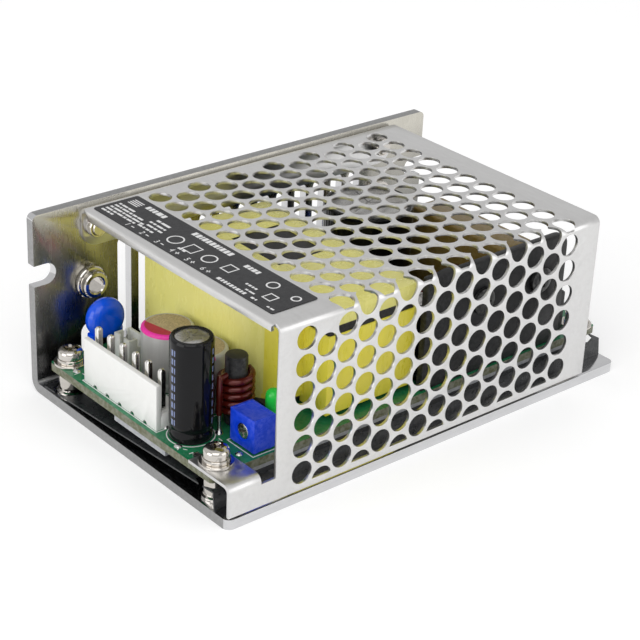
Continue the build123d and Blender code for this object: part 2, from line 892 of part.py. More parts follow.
# Trimmer: square body with a rotor that faces the output end
rotor_z = board_top_z + trimmer_rise
with BuildPart() as trimmer_body:
    with BuildSketch(Plane.YZ.offset(trimmer_front_x)):
        with Locations((trimmer_y, board_top_z)):
            Rectangle(trimmer_width, trimmer_height, align=(Align.CENTER, Align.MIN))
    extrude(amount=trimmer_depth)
    with BuildSketch(Plane.YZ.offset(trimmer_front_x)):
        with Locations((trimmer_y, rotor_z)):
            RegularPolygon(rotor_radius + rotor_clearance, large_sides, major_radius=False)
    extrude(amount=rotor_depth + rotor_clearance, mode=Mode.SUBTRACT)
save(trimmer_body, "trimmer_body")

with BuildPart() as trimmer_rotor:
    with BuildSketch(Plane.YZ.offset(trimmer_front_x + rotor_sink)):
        with Locations((trimmer_y, rotor_z)):
            RegularPolygon(rotor_radius, large_sides)
    extrude(amount=rotor_depth - rotor_sink)
    with BuildSketch(Plane.YZ.offset(trimmer_front_x + rotor_sink)):
        with Locations((trimmer_y, rotor_z)):
            Rectangle(cross_length, cross_width, rotation=cross_turn)
            Rectangle(cross_length, cross_width, rotation=cross_turn + 90)
    extrude(amount=cross_depth, mode=Mode.SUBTRACT)
save(trimmer_rotor, "trimmer_rotor")


# Status lamp
with BuildPart() as status_led:
    with BuildSketch(Plane.XY.offset(board_top_z)):
        with Locations((led_x, led_y)):
            RegularPolygon(led_radius + 0.4, medium_sides)
    extrude(amount=led_flange)
    with BuildSketch(Plane.XY.offset(board_top_z + led_flange)):
        with Locations((led_x, led_y)):
            RegularPolygon(led_radius, medium_sides)
    extrude(amount=led_height - led_flange - led_radius / 2)
    with BuildSketch(Plane.XY.offset(board_top_z + led_height - led_radius / 2)):
        with Locations((led_x, led_y)):
            RegularPolygon(led_radius, medium_sides)
    extrude(amount=led_radius / 2, taper=45)
save(status_led, "status_led")


# Transformer: core back and legs, taped winding, bobbin base, and outer tape
core_mid_x = core_front_x + core_depth / 2
winding_top_z = core_top_z - core_back
winding_bottom_z = board_top_z + bobbin_rail + bobbin_flange
with BuildPart() as transformer_core:
    with BuildSketch(Plane.YZ.offset(core_front_x)):
        with Locations((0, winding_top_z)):
            Rectangle(core_width, core_back, align=(Align.CENTER, Align.MIN))
        with Locations((0, board_top_z + bobbin_rail)):
            with GridLocations(core_width - leg_width, 0, 2, 1):
                Rectangle(
                    leg_width,
                    winding_top_z - board_top_z - bobbin_rail,
                    align=(Align.CENTER, Align.MIN),
                )
    extrude(amount=core_depth)
save(transformer_core, "transformer_core")

with BuildPart() as transformer_winding:
    with BuildSketch(Plane.XY.offset(winding_bottom_z)) as outline:
        with Locations(((coil_front_x + coil_rear_x) / 2, 0)):
            Rectangle(coil_rear_x - coil_front_x, coil_width)
        chamfer(outline.vertices(), length=coil_corner / 2)
        chamfer(outline.vertices(), length=coil_corner / 5)
    extrude(amount=winding_top_z - winding_bottom_z)
    # taped front face: runs out flat to the full width of the core on the left
    with BuildSketch(Plane.XY.offset(winding_bottom_z)) as front:
        with Locations((coil_front_x, core_width / 2)):
            Rectangle(
                core_front_x - tape_thick - coil_front_x,
                core_width / 2 + coil_width / 2 - coil_corner,
                align=(Align.MIN, Align.MAX),
            )
        chamfer(front.vertices().group_by(Axis.Y)[-1], length=front_corner)
    extrude(amount=core_top_z - front_drop - winding_bottom_z)
save(transformer_winding, "transformer_winding")

with BuildPart() as transformer_bobbin:
    with BuildSketch(Plane.XY.offset(board_top_z + bobbin_rail)):
        with Locations(((coil_front_x + coil_rear_x) / 2, 0)):
            Rectangle(coil_rear_x - coil_front_x - 1, coil_width - 2)
    extrude(amount=bobbin_flange)
    with BuildSketch(Plane.XY.offset(board_top_z)):
        with Locations(((coil_front_x + coil_rear_x) / 2, 0)):
            with GridLocations(coil_rear_x - coil_front_x - 1 - bobbin_rail_width, 0, 2, 1):
                Rectangle(bobbin_rail_width, coil_width - 2)
    extrude(amount=bobbin_rail)
save(transformer_bobbin, "transformer_bobbin")

tape_half = tape_thick / 2
with BuildPart() as transformer_tape:
    # band over the top, folded down over both legs, open over the middle of the core
    with BuildSketch(Plane.YZ.offset(core_front_x)):
        with BuildLine():
            Polyline(
                (-core_width / 2 - tape_half, core_top_z - tape_skirt),
                (-core_width / 2 - tape_half, core_top_z + tape_half),
                (core_width / 2 + tape_half, core_top_z + tape_half),
                (core_width / 2 + tape_half, core_top_z - tape_skirt),
            )
        trace(line_width=tape_thick)
    extrude(amount=core_depth)
    with BuildSketch(Plane.XY.offset(core_top_z)):
        with Locations((core_front_x + window_x, window_y)):
            Rectangle(window_depth, window_width, align=(Align.MIN, Align.CENTER))
    extrude(amount=tape_thick, mode=Mode.SUBTRACT)
    # wraps round the outer legs
    for side in (-1, 1):
        with BuildSketch(Plane.XY.offset(board_top_z + bobbin_rail)):
            with BuildLine():
                Polyline(
                    (core_front_x - tape_half, side * (core_width / 2 - leg_width)),
                    (core_front_x - tape_half, side * (core_width / 2 + tape_half)),
                    (core_front_x + core_depth + tape_half, side * (core_width / 2 + tape_half)),
                    (core_front_x + core_depth + tape_half, side * (core_width / 2 - leg_width)),
                )
            trace(line_width=tape_thick)
        extrude(amount=wrap_top_z - board_top_z - bobbin_rail)
save(transformer_tape, "transformer_tape")


# Heat sink plate on the right, with the parts screwed to its inner face
sink_inner_y = sink_outer_y + sink_thick
sink_hole_z = board_top_z + device_lift + device_height - tab_height / 2
sink_screws = [transistor_x, bridge_x]
with BuildPart() as heat_sink:
    with BuildSketch(Plane.XZ.offset(-sink_outer_y)):
        with BuildLine():
            Polyline(
                (sink_front_x, board_top_z),
                (sink_rear_x, board_top_z),
                (sink_rear_x, sink_top_z - sink_corner),
                (sink_rear_x - sink_corner, sink_top_z),
                (sink_front_x, sink_top_z),
                close=True,
            )
        make_face()
        for x in sink_screws:
            with Locations((x, sink_hole_z)):
                RegularPolygon(sink_screw_radius, small_sides, mode=Mode.SUBTRACT)
    extrude(amount=-sink_thick)
save(heat_sink, "heat_sink")

with BuildPart() as power_transistor:
    with BuildSketch(Plane.XZ.offset(-sink_inner_y)):
        with Locations((transistor_x, board_top_z + device_lift)):
            Rectangle(device_width, device_height, align=(Align.CENTER, Align.MIN))
        with Locations((transistor_x, sink_hole_z)):
            RegularPolygon(sink_screw_radius, small_sides, mode=Mode.SUBTRACT)
    extrude(amount=-tab_thick)
    with BuildSketch(Plane.XZ.offset(-sink_inner_y - tab_thick)):
        with Locations((transistor_x, board_top_z + device_lift)):
            Rectangle(
                device_width, device_height - tab_height, align=(Align.CENTER, Align.MIN)
            )
    extrude(amount=-(device_thick - tab_thick))
    with BuildSketch(Plane.XY.offset(board_top_z)):
        with Locations((transistor_x, sink_inner_y + device_thick / 2)):
            with GridLocations(device_pitch, 0, 3, 1):
                Rectangle(device_lead, device_lead)
    extrude(amount=device_lift)
save(power_transistor, "power_transistor")

with BuildPart() as bridge_rectifier:
    with BuildSketch(Plane.XZ.offset(-sink_inner_y)):
        with Locations((bridge_x, board_top_z + device_lift)):
            Rectangle(bridge_width, device_height, align=(Align.CENTER, Align.MIN))
        with Locations((bridge_x, sink_hole_z)):
            RegularPolygon(sink_screw_radius, small_sides, mode=Mode.SUBTRACT)
    extrude(amount=-bridge_thick)
    with BuildSketch(Plane.XY.offset(board_top_z)):
        with Locations((bridge_x, sink_inner_y + bridge_thick / 2)):
            with GridLocations(device_pitch * 1.3, 0, 4, 1):
                Rectangle(device_lead, device_lead)
    extrude(amount=device_lift)
save(bridge_rectifier, "bridge_rectifier")

with BuildPart() as sink_fasteners:
    for x, thick in ((transistor_x, tab_thick), (bridge_x, bridge_thick)):
        with BuildSketch(Plane.XZ.offset(-sink_outer_y)):
            with Locations((x, sink_hole_z)):
                RegularPolygon(sink_screw_radius, small_sides)
        extrude(amount=-(sink_thick + thick))
        with BuildSketch(Plane.XZ.offset(-sink_outer_y)):
            with Locations((x, sink_hole_z)):
                RegularPolygon(sink_head_radius, small_sides)
        extrude(amount=sink_head)
        with BuildSketch(Plane.XZ.offset(-sink_inner_y - thick)):
            with Locations((x, sink_hole_z)):
                RegularPolygon(sink_head_radius, 6)
        extrude(amount=-sink_nut)
save(sink_fasteners, "sink_fasteners")


# Boost choke: wound ring standing on edge behind the heat sink, open where the wire ends
boost_z = board_top_z + boost_radius
with BuildPart() as boost_choke_core:
    with BuildSketch(Plane.XZ.offset(-boost_y - boost_width / 2 + boost_wire)):
        with Locations((boost_x, boost_z)):
            RegularPolygon(boost_radius - boost_wire, large_sides)
            RegularPolygon(boost_bore + boost_wire, medium_sides, mode=Mode.SUBTRACT)
    extrude(amount=boost_width - 2 * boost_wire)
save(boost_choke_core, "boost_choke_core")

with BuildPart() as boost_choke_winding:
    with BuildSketch(Plane.XZ.offset(-boost_y - boost_width / 2)):
        with Locations((boost_x, boost_z)):
            RegularPolygon(boost_radius, large_sides)
            RegularPolygon(boost_bore, medium_sides, mode=Mode.SUBTRACT)
    extrude(amount=boost_width)
    with BuildSketch(Plane.XZ.offset(-boost_y - boost_width / 2 + boost_wire)):
        with Locations((boost_x, boost_z)):
            RegularPolygon(boost_radius - boost_wire, large_sides)
            RegularPolygon(boost_bore + boost_wire, medium_sides, mode=Mode.SUBTRACT)
    extrude(amount=boost_width - 2 * boost_wire, mode=Mode.SUBTRACT)
    with BuildSketch(Plane.XZ.offset(-boost_y - boost_width / 2)):
        with Locations((boost_x, boost_z)):
            Rectangle(boost_gap, boost_radius, align=(Align.CENTER, Align.MIN))
    extrude(amount=boost_width, mode=Mode.SUBTRACT)
save(boost_choke_winding, "boost_choke_winding")


# Line filter: ring core lying flat on a base, with two windings
filter_low_z = board_top_z + filter_base
with BuildPart() as line_filter_core:
    with BuildSketch(Plane.XY.offset(board_top_z)):
        with Locations((filter_x, filter_y)):
            Rectangle(2 * filter_radius, 2 * filter_radius)
    extrude(amount=filter_base)
    with BuildSketch(Plane.XY.offset(filter_low_z)):
        with Locations((filter_x, filter_y)):
            RegularPolygon(filter_radius - filter_wire, medium_sides)
            RegularPolygon(filter_bore + filter_wire, small_sides, mode=Mode.SUBTRACT)
    extrude(amount=filter_height)
save(line_filter_core, "line_filter_core")

with BuildPart() as line_filter_windings:
    with BuildSketch(Plane.XY.offset(filter_low_z)):
        with Locations((filter_x, filter_y)):
            RegularPolygon(filter_radius, medium_sides)
            RegularPolygon(filter_bore, small_sides, mode=Mode.SUBTRACT)
    extrude(amount=filter_height + filter_wire)
    with BuildSketch(Plane.XY.offset(filter_low_z)):
        with Locations((filter_x, filter_y)):
            RegularPolygon(filter_radius - filter_wire, medium_sides)
            RegularPolygon(filter_bore + filter_wire, small_sides, mode=Mode.SUBTRACT)
    extrude(amount=filter_height, mode=Mode.SUBTRACT)
    # gap that parts the two windings
    with BuildSketch(Plane.XY.offset(filter_low_z)):
        with Locations((filter_x, filter_y)):
            Rectangle(filter_gap, 2 * filter_radius)
    extrude(amount=filter_height + filter_wire, mode=Mode.SUBTRACT)
save(line_filter_windings, "line_filter_windings")


# Box capacitor across the mains, the box fuse and the optocoupler
with BuildPart() as box_capacitor:
    with BuildSketch(Plane.XY.offset(board_top_z)):
        with Locations((box_x, box_y)):
            Rectangle(box_depth, box_width)
    extrude(amount=box_height)
save(box_capacitor, "box_capacitor")

with BuildPart() as fuse:
    with BuildSketch(Plane.XY.offset(board_top_z)):
        with Locations((fuse_x, fuse_y)):
            Rectangle(fuse_depth, fuse_width)
    extrude(amount=fuse_height)
save(fuse, "fuse")

with BuildPart() as optocoupler:
    with BuildSketch(Plane.XY.offset(board_top_z + opto_lift)):
        with Locations((opto_x, opto_y)):
            Rectangle(opto_length, opto_width)
    extrude(amount=opto_height)
    with BuildSketch(Plane.XY.offset(board_top_z)):
        with Locations((opto_x, opto_y)):
            with GridLocations(opto_pitch, opto_width + opto_lead, 2, 2):
                Rectangle(opto_lead, opto_lead)
    extrude(amount=opto_lift + opto_height / 2)
save(optocoupler, "optocoupler")
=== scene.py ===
import json
import math

import bpy
from mathutils import Matrix, Vector


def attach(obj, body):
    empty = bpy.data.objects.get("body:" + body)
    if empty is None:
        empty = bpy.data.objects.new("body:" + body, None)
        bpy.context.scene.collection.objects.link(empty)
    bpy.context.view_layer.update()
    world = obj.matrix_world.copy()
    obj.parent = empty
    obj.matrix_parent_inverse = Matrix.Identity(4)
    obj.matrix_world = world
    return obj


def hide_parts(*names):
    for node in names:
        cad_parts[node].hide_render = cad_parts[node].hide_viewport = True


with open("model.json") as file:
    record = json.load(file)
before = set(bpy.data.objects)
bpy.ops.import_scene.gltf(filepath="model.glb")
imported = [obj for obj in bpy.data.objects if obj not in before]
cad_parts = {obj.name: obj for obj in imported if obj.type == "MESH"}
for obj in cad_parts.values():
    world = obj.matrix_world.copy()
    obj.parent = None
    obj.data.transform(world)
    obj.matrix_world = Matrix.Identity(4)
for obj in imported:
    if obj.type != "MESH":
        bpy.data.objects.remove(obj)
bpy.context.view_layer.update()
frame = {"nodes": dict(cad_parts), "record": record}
MM = 0.001

# Sizes in millimetres, the same as those of the solids
LENGTH, WIDTH, HEIGHT = 98.5, 62.0, 37.0
FRONT, REAR, RIGHT, LEFT = -LENGTH / 2, LENGTH / 2, -WIDTH / 2, WIDTH / 2
# the cover is drawn thinner than its solid, as thin as the walls of its holes are in the photo
SHEET, COVER_SHEET = 2.0, 0.6
WALL_INNER = LEFT - SHEET
COVER_TOP = 36.4
COVER_FRONT, COVER_REAR = FRONT + 10.4, REAR - 9.8
COVER_BOTTOM = 2.5
FLANGE = 8.4
FLANGE_SCREW_X, FLANGE_SCREW_Z = 36.1, 32.2
INSERT_X, INSERT_Z = 36.9, 20.4
BOARD_BOTTOM, BOARD_TOP = 6.5, 8.1
HOLE_X, HOLE_Y, BOARD_HOLE_RADIUS = 45.6, 22.85, 1.7
PITCH, HOLE_RADIUS, HOLE_SIDES = 5.31, 2.25, 32
COLUMN_STEP = PITCH * math.sqrt(3) / 2
FIRST_COLUMN, LOWEST_HOLE = -33.0, 6.0
WALL_PUNCH = 8
PIN_PITCH, PIN_INSET, HEADER_FACE = 3.96, 2.3, 47.4
OUTPUT_HEADER_Y, INPUT_HEADER_Y = 3.9, 3.6
OUTPUT_CAN, BULK_CAN = (-43, -12), (18.5, 11.6)
POLYMER_CANS = ((-35, 6.2), (-35, -4.1))

# Axes, turns in degrees that lay an upright piece along an axis, and the margin of the tests in mm
X, Y, Z = 0, 1, 2
ALONG_X, ALONG_Y = (0, 90, 0), (90, 0, 0)
NEAR = 0.1


def at(x, y, z):
    """A place given in millimetres, in metres."""
    return (x * MM, y * MM, z * MM)


# Modelling helpers


def fresh():
    """Nothing selected and object mode, ready for the next operator."""
    if bpy.context.object and bpy.context.object.mode != "OBJECT":
        bpy.ops.object.mode_set(mode="OBJECT")
    bpy.ops.object.select_all(action="DESELECT")


def focus(piece):
    fresh()
    piece.select_set(True)
    bpy.context.view_layer.objects.active = piece


def settle(piece):
    focus(piece)
    bpy.ops.object.transform_apply(location=True, rotation=True, scale=True)


def named(name):
    """Name the primitive just added and settle its place into its mesh."""
    piece = bpy.context.object
    piece.name = name
    piece.data.name = name
    settle(piece)
    return piece


def block(name, x, y, z, size_x, size_y, size_z):
    """A box centred on x and y that stands on height z, in millimetres."""
    fresh()
    bpy.ops.mesh.primitive_cube_add(size=1, location=at(x, y, z + size_z / 2))
    bpy.context.object.scale = at(size_x, size_y, size_z)
    return named(name)


def rod(name, x, y, z, radius, high, sides=48, turn=(0, 0, 0)):
    """A cylinder with its middle at x, y and z, turned by degrees about the axes."""
    fresh()
    bpy.ops.mesh.primitive_cylinder_add(
        vertices=sides,
        radius=radius * MM,
        depth=high * MM,
        location=at(x, y, z),
        rotation=[math.radians(angle) for angle in turn],
    )
    return named(name)


def pick(piece, kind, test):
    """Go into edit mode with the parts of one kind selected whose corners pass the test."""
    focus(piece)
    bpy.ops.object.mode_set(mode="EDIT")
    bpy.ops.mesh.select_mode(type=kind)
    bpy.ops.mesh.select_all(action="DESELECT")
    bpy.ops.object.mode_set(mode="OBJECT")
    mesh = piece.data
    spots = [vertex.co / MM for vertex in mesh.vertices]
    parts = {"VERT": mesh.vertices, "EDGE": mesh.edges, "FACE": mesh.polygons}[kind]
    for part in parts:
        if kind == "VERT":
            corners = [spots[part.index]]
        else:
            corners = [spots[index] for index in part.vertices]
        if test(corners):
            part.select = True
    bpy.ops.object.mode_set(mode="EDIT")


def every(axis, value, slack=0.02):
    """Test that all corners lie at one place along an axis."""
    return lambda corners: all(abs(corner[axis] - value) < slack for corner in corners)


def along(axis):
    """Test that an edge runs along an axis."""
    others = {X, Y, Z} - {axis}
    return lambda ends: all(abs(ends[0][other] - ends[1][other]) < 0.01 for other in others)


def beyond(axis, value):
    """Test that all corners lie past a place along an axis."""
    return lambda corners: all(corner[axis] > value for corner in corners)


def short_of(axis, value):
    """Test that all corners lie before a place along an axis."""
    return lambda corners: all(corner[axis] < value for corner in corners)


def both(*tests):
    """Test that several tests hold at once."""
    return lambda corners: all(test(corners) for test in tests)


def done():
    bpy.ops.object.mode_set(mode="OBJECT")


def push(x, y, z):
    """Extrude what is selected by a distance in millimetres."""
    bpy.ops.mesh.extrude_region_move(TRANSFORM_OT_translate={"value": at(x, y, z)})


def shift(x, y, z):
    """Move what is selected by a distance in millimetres."""
    bpy.ops.transform.translate(value=at(x, y, z))


def widen(x, y, z, ratio_x, ratio_y):
    """Scale what is selected across about a place in millimetres."""
    bpy.ops.transform.resize(value=(ratio_x, ratio_y, 1), center_override=at(x, y, z))


def rounded(piece, test, radius, segments, corners=False):
    """Round the edges that pass the test or, on a flat sheet, its corners."""
    pick(piece, "VERT" if corners else "EDGE", test)
    kind = "VERTICES" if corners else "EDGES"
    bpy.ops.mesh.bevel(offset=radius * MM, segments=segments, affect=kind)
    done()


def taper(piece, height, x, y, ratio_x, ratio_y):
    """Draw the face at one height in or out about a place."""
    pick(piece, "FACE", every(Z, height))
    widen(x, y, 0, ratio_x, ratio_y)
    done()


def slice_at(piece, axis, value, **ways):
    """Cut through the faces of a piece with a flat plane across an axis."""
    place, normal = [0, 0, 0], [0, 0, 0]
    place[axis], normal[axis] = value, 1
    edit_all(piece, "FACE")
    bpy.ops.mesh.bisect(plane_co=at(*place), plane_no=normal, **ways)
    done()


def modify(piece, kind, **settings):
    """Add a modifier, set it and apply it."""
    focus(piece)
    modifier = piece.modifiers.new(kind.lower(), kind)
    for setting, value in settings.items():
        setattr(modifier, setting, value)
    bpy.ops.object.modifier_apply(modifier=modifier.name)


def soften(piece, width, segments=2, angle=35):
    """Break every sharp edge."""
    limit = math.radians(angle)
    modify(piece, "BEVEL", width=width * MM, segments=segments, limit_method="ANGLE", angle_limit=limit)


def repeat(piece, count, x, y, z):
    """Repeat a piece in a straight row."""
    modify(
        piece,
        "ARRAY",
        count=count,
        use_relative_offset=False,
        use_constant_offset=True,
        constant_offset_displace=at(x, y, z),
    )


def cut(piece, cutter):
    """Take a cutter, or a set of separate cutters, out of a piece."""
    modify(piece, "BOOLEAN", operation="DIFFERENCE", solver="EXACT", object=cutter)
    bpy.data.objects.remove(cutter, do_unlink=True)


def join(name, *pieces):
    focus(pieces[0])
    for piece in pieces[1:]:
        piece.select_set(True)
    bpy.ops.object.join()
    pieces[0].name = name
    pieces[0].data.name = name
    return pieces[0]


def copy_to(piece, name, x, y, z, turn=(0, 0, 0)):
    """A copy with its own mesh, turned about the origin and moved, in millimetres."""
    fresh()
    twin = piece.copy()
    twin.data = piece.data.copy()
    bpy.context.collection.objects.link(twin)
    twin.name = name
    twin.data.name = name
    twin.rotation_euler = [math.radians(angle) for angle in turn]
    twin.location = at(x, y, z)
    settle(twin)
    return twin


def move_to(piece, name, x, y, z, turn=(0, 0, 0)):
    """The piece itself, turned about the origin and moved, in millimetres."""
    twin = copy_to(piece, name, x, y, z, turn)
    bpy.data.objects.remove(piece, do_unlink=True)
    return twin


def set_out(name, piece, places):
    """Copies of a piece at several places, joined into one; a fourth number turns a copy."""
    copies = []
    for place in places:
        turn = (0, 0, place[3] if len(place) > 3 else 0)
        copies.append(copy_to(piece, name + " copy", *place[:3], turn))
    bpy.data.objects.remove(piece, do_unlink=True)
    return join(name, *copies)


def smooth(piece, angle=35):
    focus(piece)
    bpy.ops.object.shade_smooth_by_angle(angle=math.radians(angle))
    return piece


def edit_all(piece, kind):
    """Go into edit mode with all parts of one kind selected."""
    focus(piece)
    bpy.ops.object.mode_set(mode="EDIT")
    bpy.ops.mesh.select_mode(type=kind)
    bpy.ops.mesh.select_all(action="SELECT")


def outward(piece):
    edit_all(piece, "FACE")
    bpy.ops.mesh.normals_make_consistent(inside=False)
    done()
    return piece


def thicken(sheet, thickness, high):
    """Give a folded surface its thickness inwards; its outer faces stay where they are."""
    outward(sheet)
    modify(sheet, "SOLIDIFY", thickness=thickness * MM, offset=-1, use_even_offset=True)
    if sheet.dimensions.z / MM > high + 0.5:
        raise SystemExit(sheet.name + " grew outwards")
    outward(sheet)


def turned(name, rings, sides=40, place=(0, 0, 0), turn=(0, 0, 0), through=False):
    """A round piece drawn up ring by ring from pairs of radius and height, then turned and placed."""
    fresh()
    radius, height = rings[0]
    bpy.ops.mesh.primitive_circle_add(
        vertices=sides, radius=radius * MM, fill_type="NGON", location=at(0, 0, height)
    )
    piece = named(name)
    edit_all(piece, "FACE")
    for wide, high in rings[1:]:
        push(0, 0, high - height)
        widen(0, 0, 0, wide / radius, wide / radius)
        radius, height = wide, high
    done()
    if through:
        # both end faces go, and the last ring meets the first
        pick(piece, "FACE", lambda corners: len(corners) == sides)
        bpy.ops.mesh.delete(type="FACE")
        done()
        edit_all(piece, "VERT")
        bpy.ops.mesh.remove_doubles(threshold=0.00001)
        done()
    outward(piece)
    piece.rotation_euler = [math.radians(angle) for angle in turn]
    piece.location = at(*place)
    settle(piece)
    return smooth(piece)


def finish(piece, node=None, slot=None, look=None, body="supply"):
    """Give a piece its finish, tie it to its body and let it stand for its solid."""
    piece.data.materials.clear()
    piece.data.materials.append(LOOKS[look or slot])
    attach(piece, body)
    if node:
        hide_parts(node)
    return piece


def tint(piece, look, test):
    """Give some faces of a finished piece a second finish."""
    piece.data.materials.append(LOOKS[look])
    pick(piece, "FACE", test)
    piece.active_material_index = len(piece.data.materials) - 1
    bpy.ops.object.material_slot_assign()
    done()
    return piece


# Finishes


def surface(name, colour, roughness, metallic=0.0):
    """A material with its main shader, ready for detail."""
    material = bpy.data.materials.new(name)
    material.use_nodes = True
    shader = material.node_tree.nodes["Principled BSDF"]
    shader.inputs["Base Color"].default_value = (*colour, 1)
    shader.inputs["Roughness"].default_value = roughness
    shader.inputs["Metallic"].default_value = metallic
    return material, shader


def add_node(tree, kind, values, output, **settings):
    """Add a node, set or link its inputs, and give back one of its outputs."""
    node = tree.nodes.new(kind)
    for setting, value in settings.items():
        setattr(node, setting, value)
    for socket, value in values.items():
        if isinstance(value, bpy.types.NodeSocket):
            tree.links.new(value, node.inputs[socket])
        else:
            node.inputs[socket].default_value = value
    return node.outputs[output]


def coordinates(tree, stretch=(1, 1, 1)):
    """Object coordinates, stretched."""
    place = add_node(tree, "ShaderNodeTexCoord", {}, "Object")
    return add_node(tree, "ShaderNodeMapping", {"Vector": place, "Scale": stretch}, "Vector")


def noise(tree, vector, size):
    """Noise whose main features are about size millimetres across."""
    values = {"Vector": vector, "Scale": 1 / (size * MM), "Detail": 4.0, "Roughness": 0.6}
    return add_node(tree, "ShaderNodeTexNoise", values, "Fac")


def spread(tree, value, low, high, from_low=0.3, from_high=0.7):
    """Map a value onto a range of numbers."""
    values = {"Value": value, "From Min": from_low, "From Max": from_high, "To Min": low, "To Max": high}
    return add_node(tree, "ShaderNodeMapRange", values, "Result")


def blend_colours(tree, value, first, second):
    """Blend from one colour to another, or from one colour socket to another."""
    factor, first_colour, second_colour, blended = 0, 6, 7, 2
    values = {factor: value}
    for socket, colour in ((first_colour, first), (second_colour, second)):
        values[socket] = (*colour, 1) if isinstance(colour, tuple) else colour
    return add_node(tree, "ShaderNodeMix", values, blended, data_type="RGBA")


def relief(tree, shader, height, depth):
    """Bump from a height, depth in millimetres."""
    values = {"Height": height, "Distance": depth * MM, "Strength": 0.6}
    tree.links.new(add_node(tree, "ShaderNodeBump", values, "Normal"), shader.inputs["Normal"])


def worn_edges(tree, vector, colour, lighter):
    """Lighten a colour along sharp edges, broken up by noise."""
    point = add_node(tree, "ShaderNodeNewGeometry", {}, "Pointiness")
    edge = spread(tree, point, 0, 1, 0.52, 0.62)
    scatter = spread(tree, noise(tree, vector, 0.8), 0, 1, 0.4, 0.6)
    amount = add_node(tree, "ShaderNodeMath", {0: edge, 1: scatter}, 0, operation="MULTIPLY")
    return blend_colours(tree, amount, colour, lighter)


def mottled(name, colour, roughness, metallic, size, swing, rough_swing, depth,
            stretch=(1, 1, 1), wear=0.35, sheen=0.5):
    """Uneven colour, gloss and relief in one grain size, paler along the edges."""
    palest = 0.8
    material, shader = surface(name, colour, roughness, metallic)
    shader.inputs["Specular IOR Level"].default_value = sheen
    tree = material.node_tree
    vector = coordinates(tree, stretch)
    grain = noise(tree, vector, size)
    dark = tuple(part * (1 - swing) for part in colour)
    light = tuple(min(1, part * (1 + swing)) for part in colour)
    shade = blend_colours(tree, spread(tree, grain, 0, 1), dark, light)
    pale = tuple(max(part, part + (palest - part) * wear * 0.5) for part in colour)
    tree.links.new(worn_edges(tree, vector, shade, pale), shader.inputs["Base Color"])
    low, high = max(0.02, roughness - rough_swing), min(1, roughness + rough_swing)
    fine = noise(tree, vector, size / 3)
    tree.links.new(spread(tree, fine, low, high), shader.inputs["Roughness"])
    relief(tree, shader, fine, depth)
    return material


LOOKS = {}
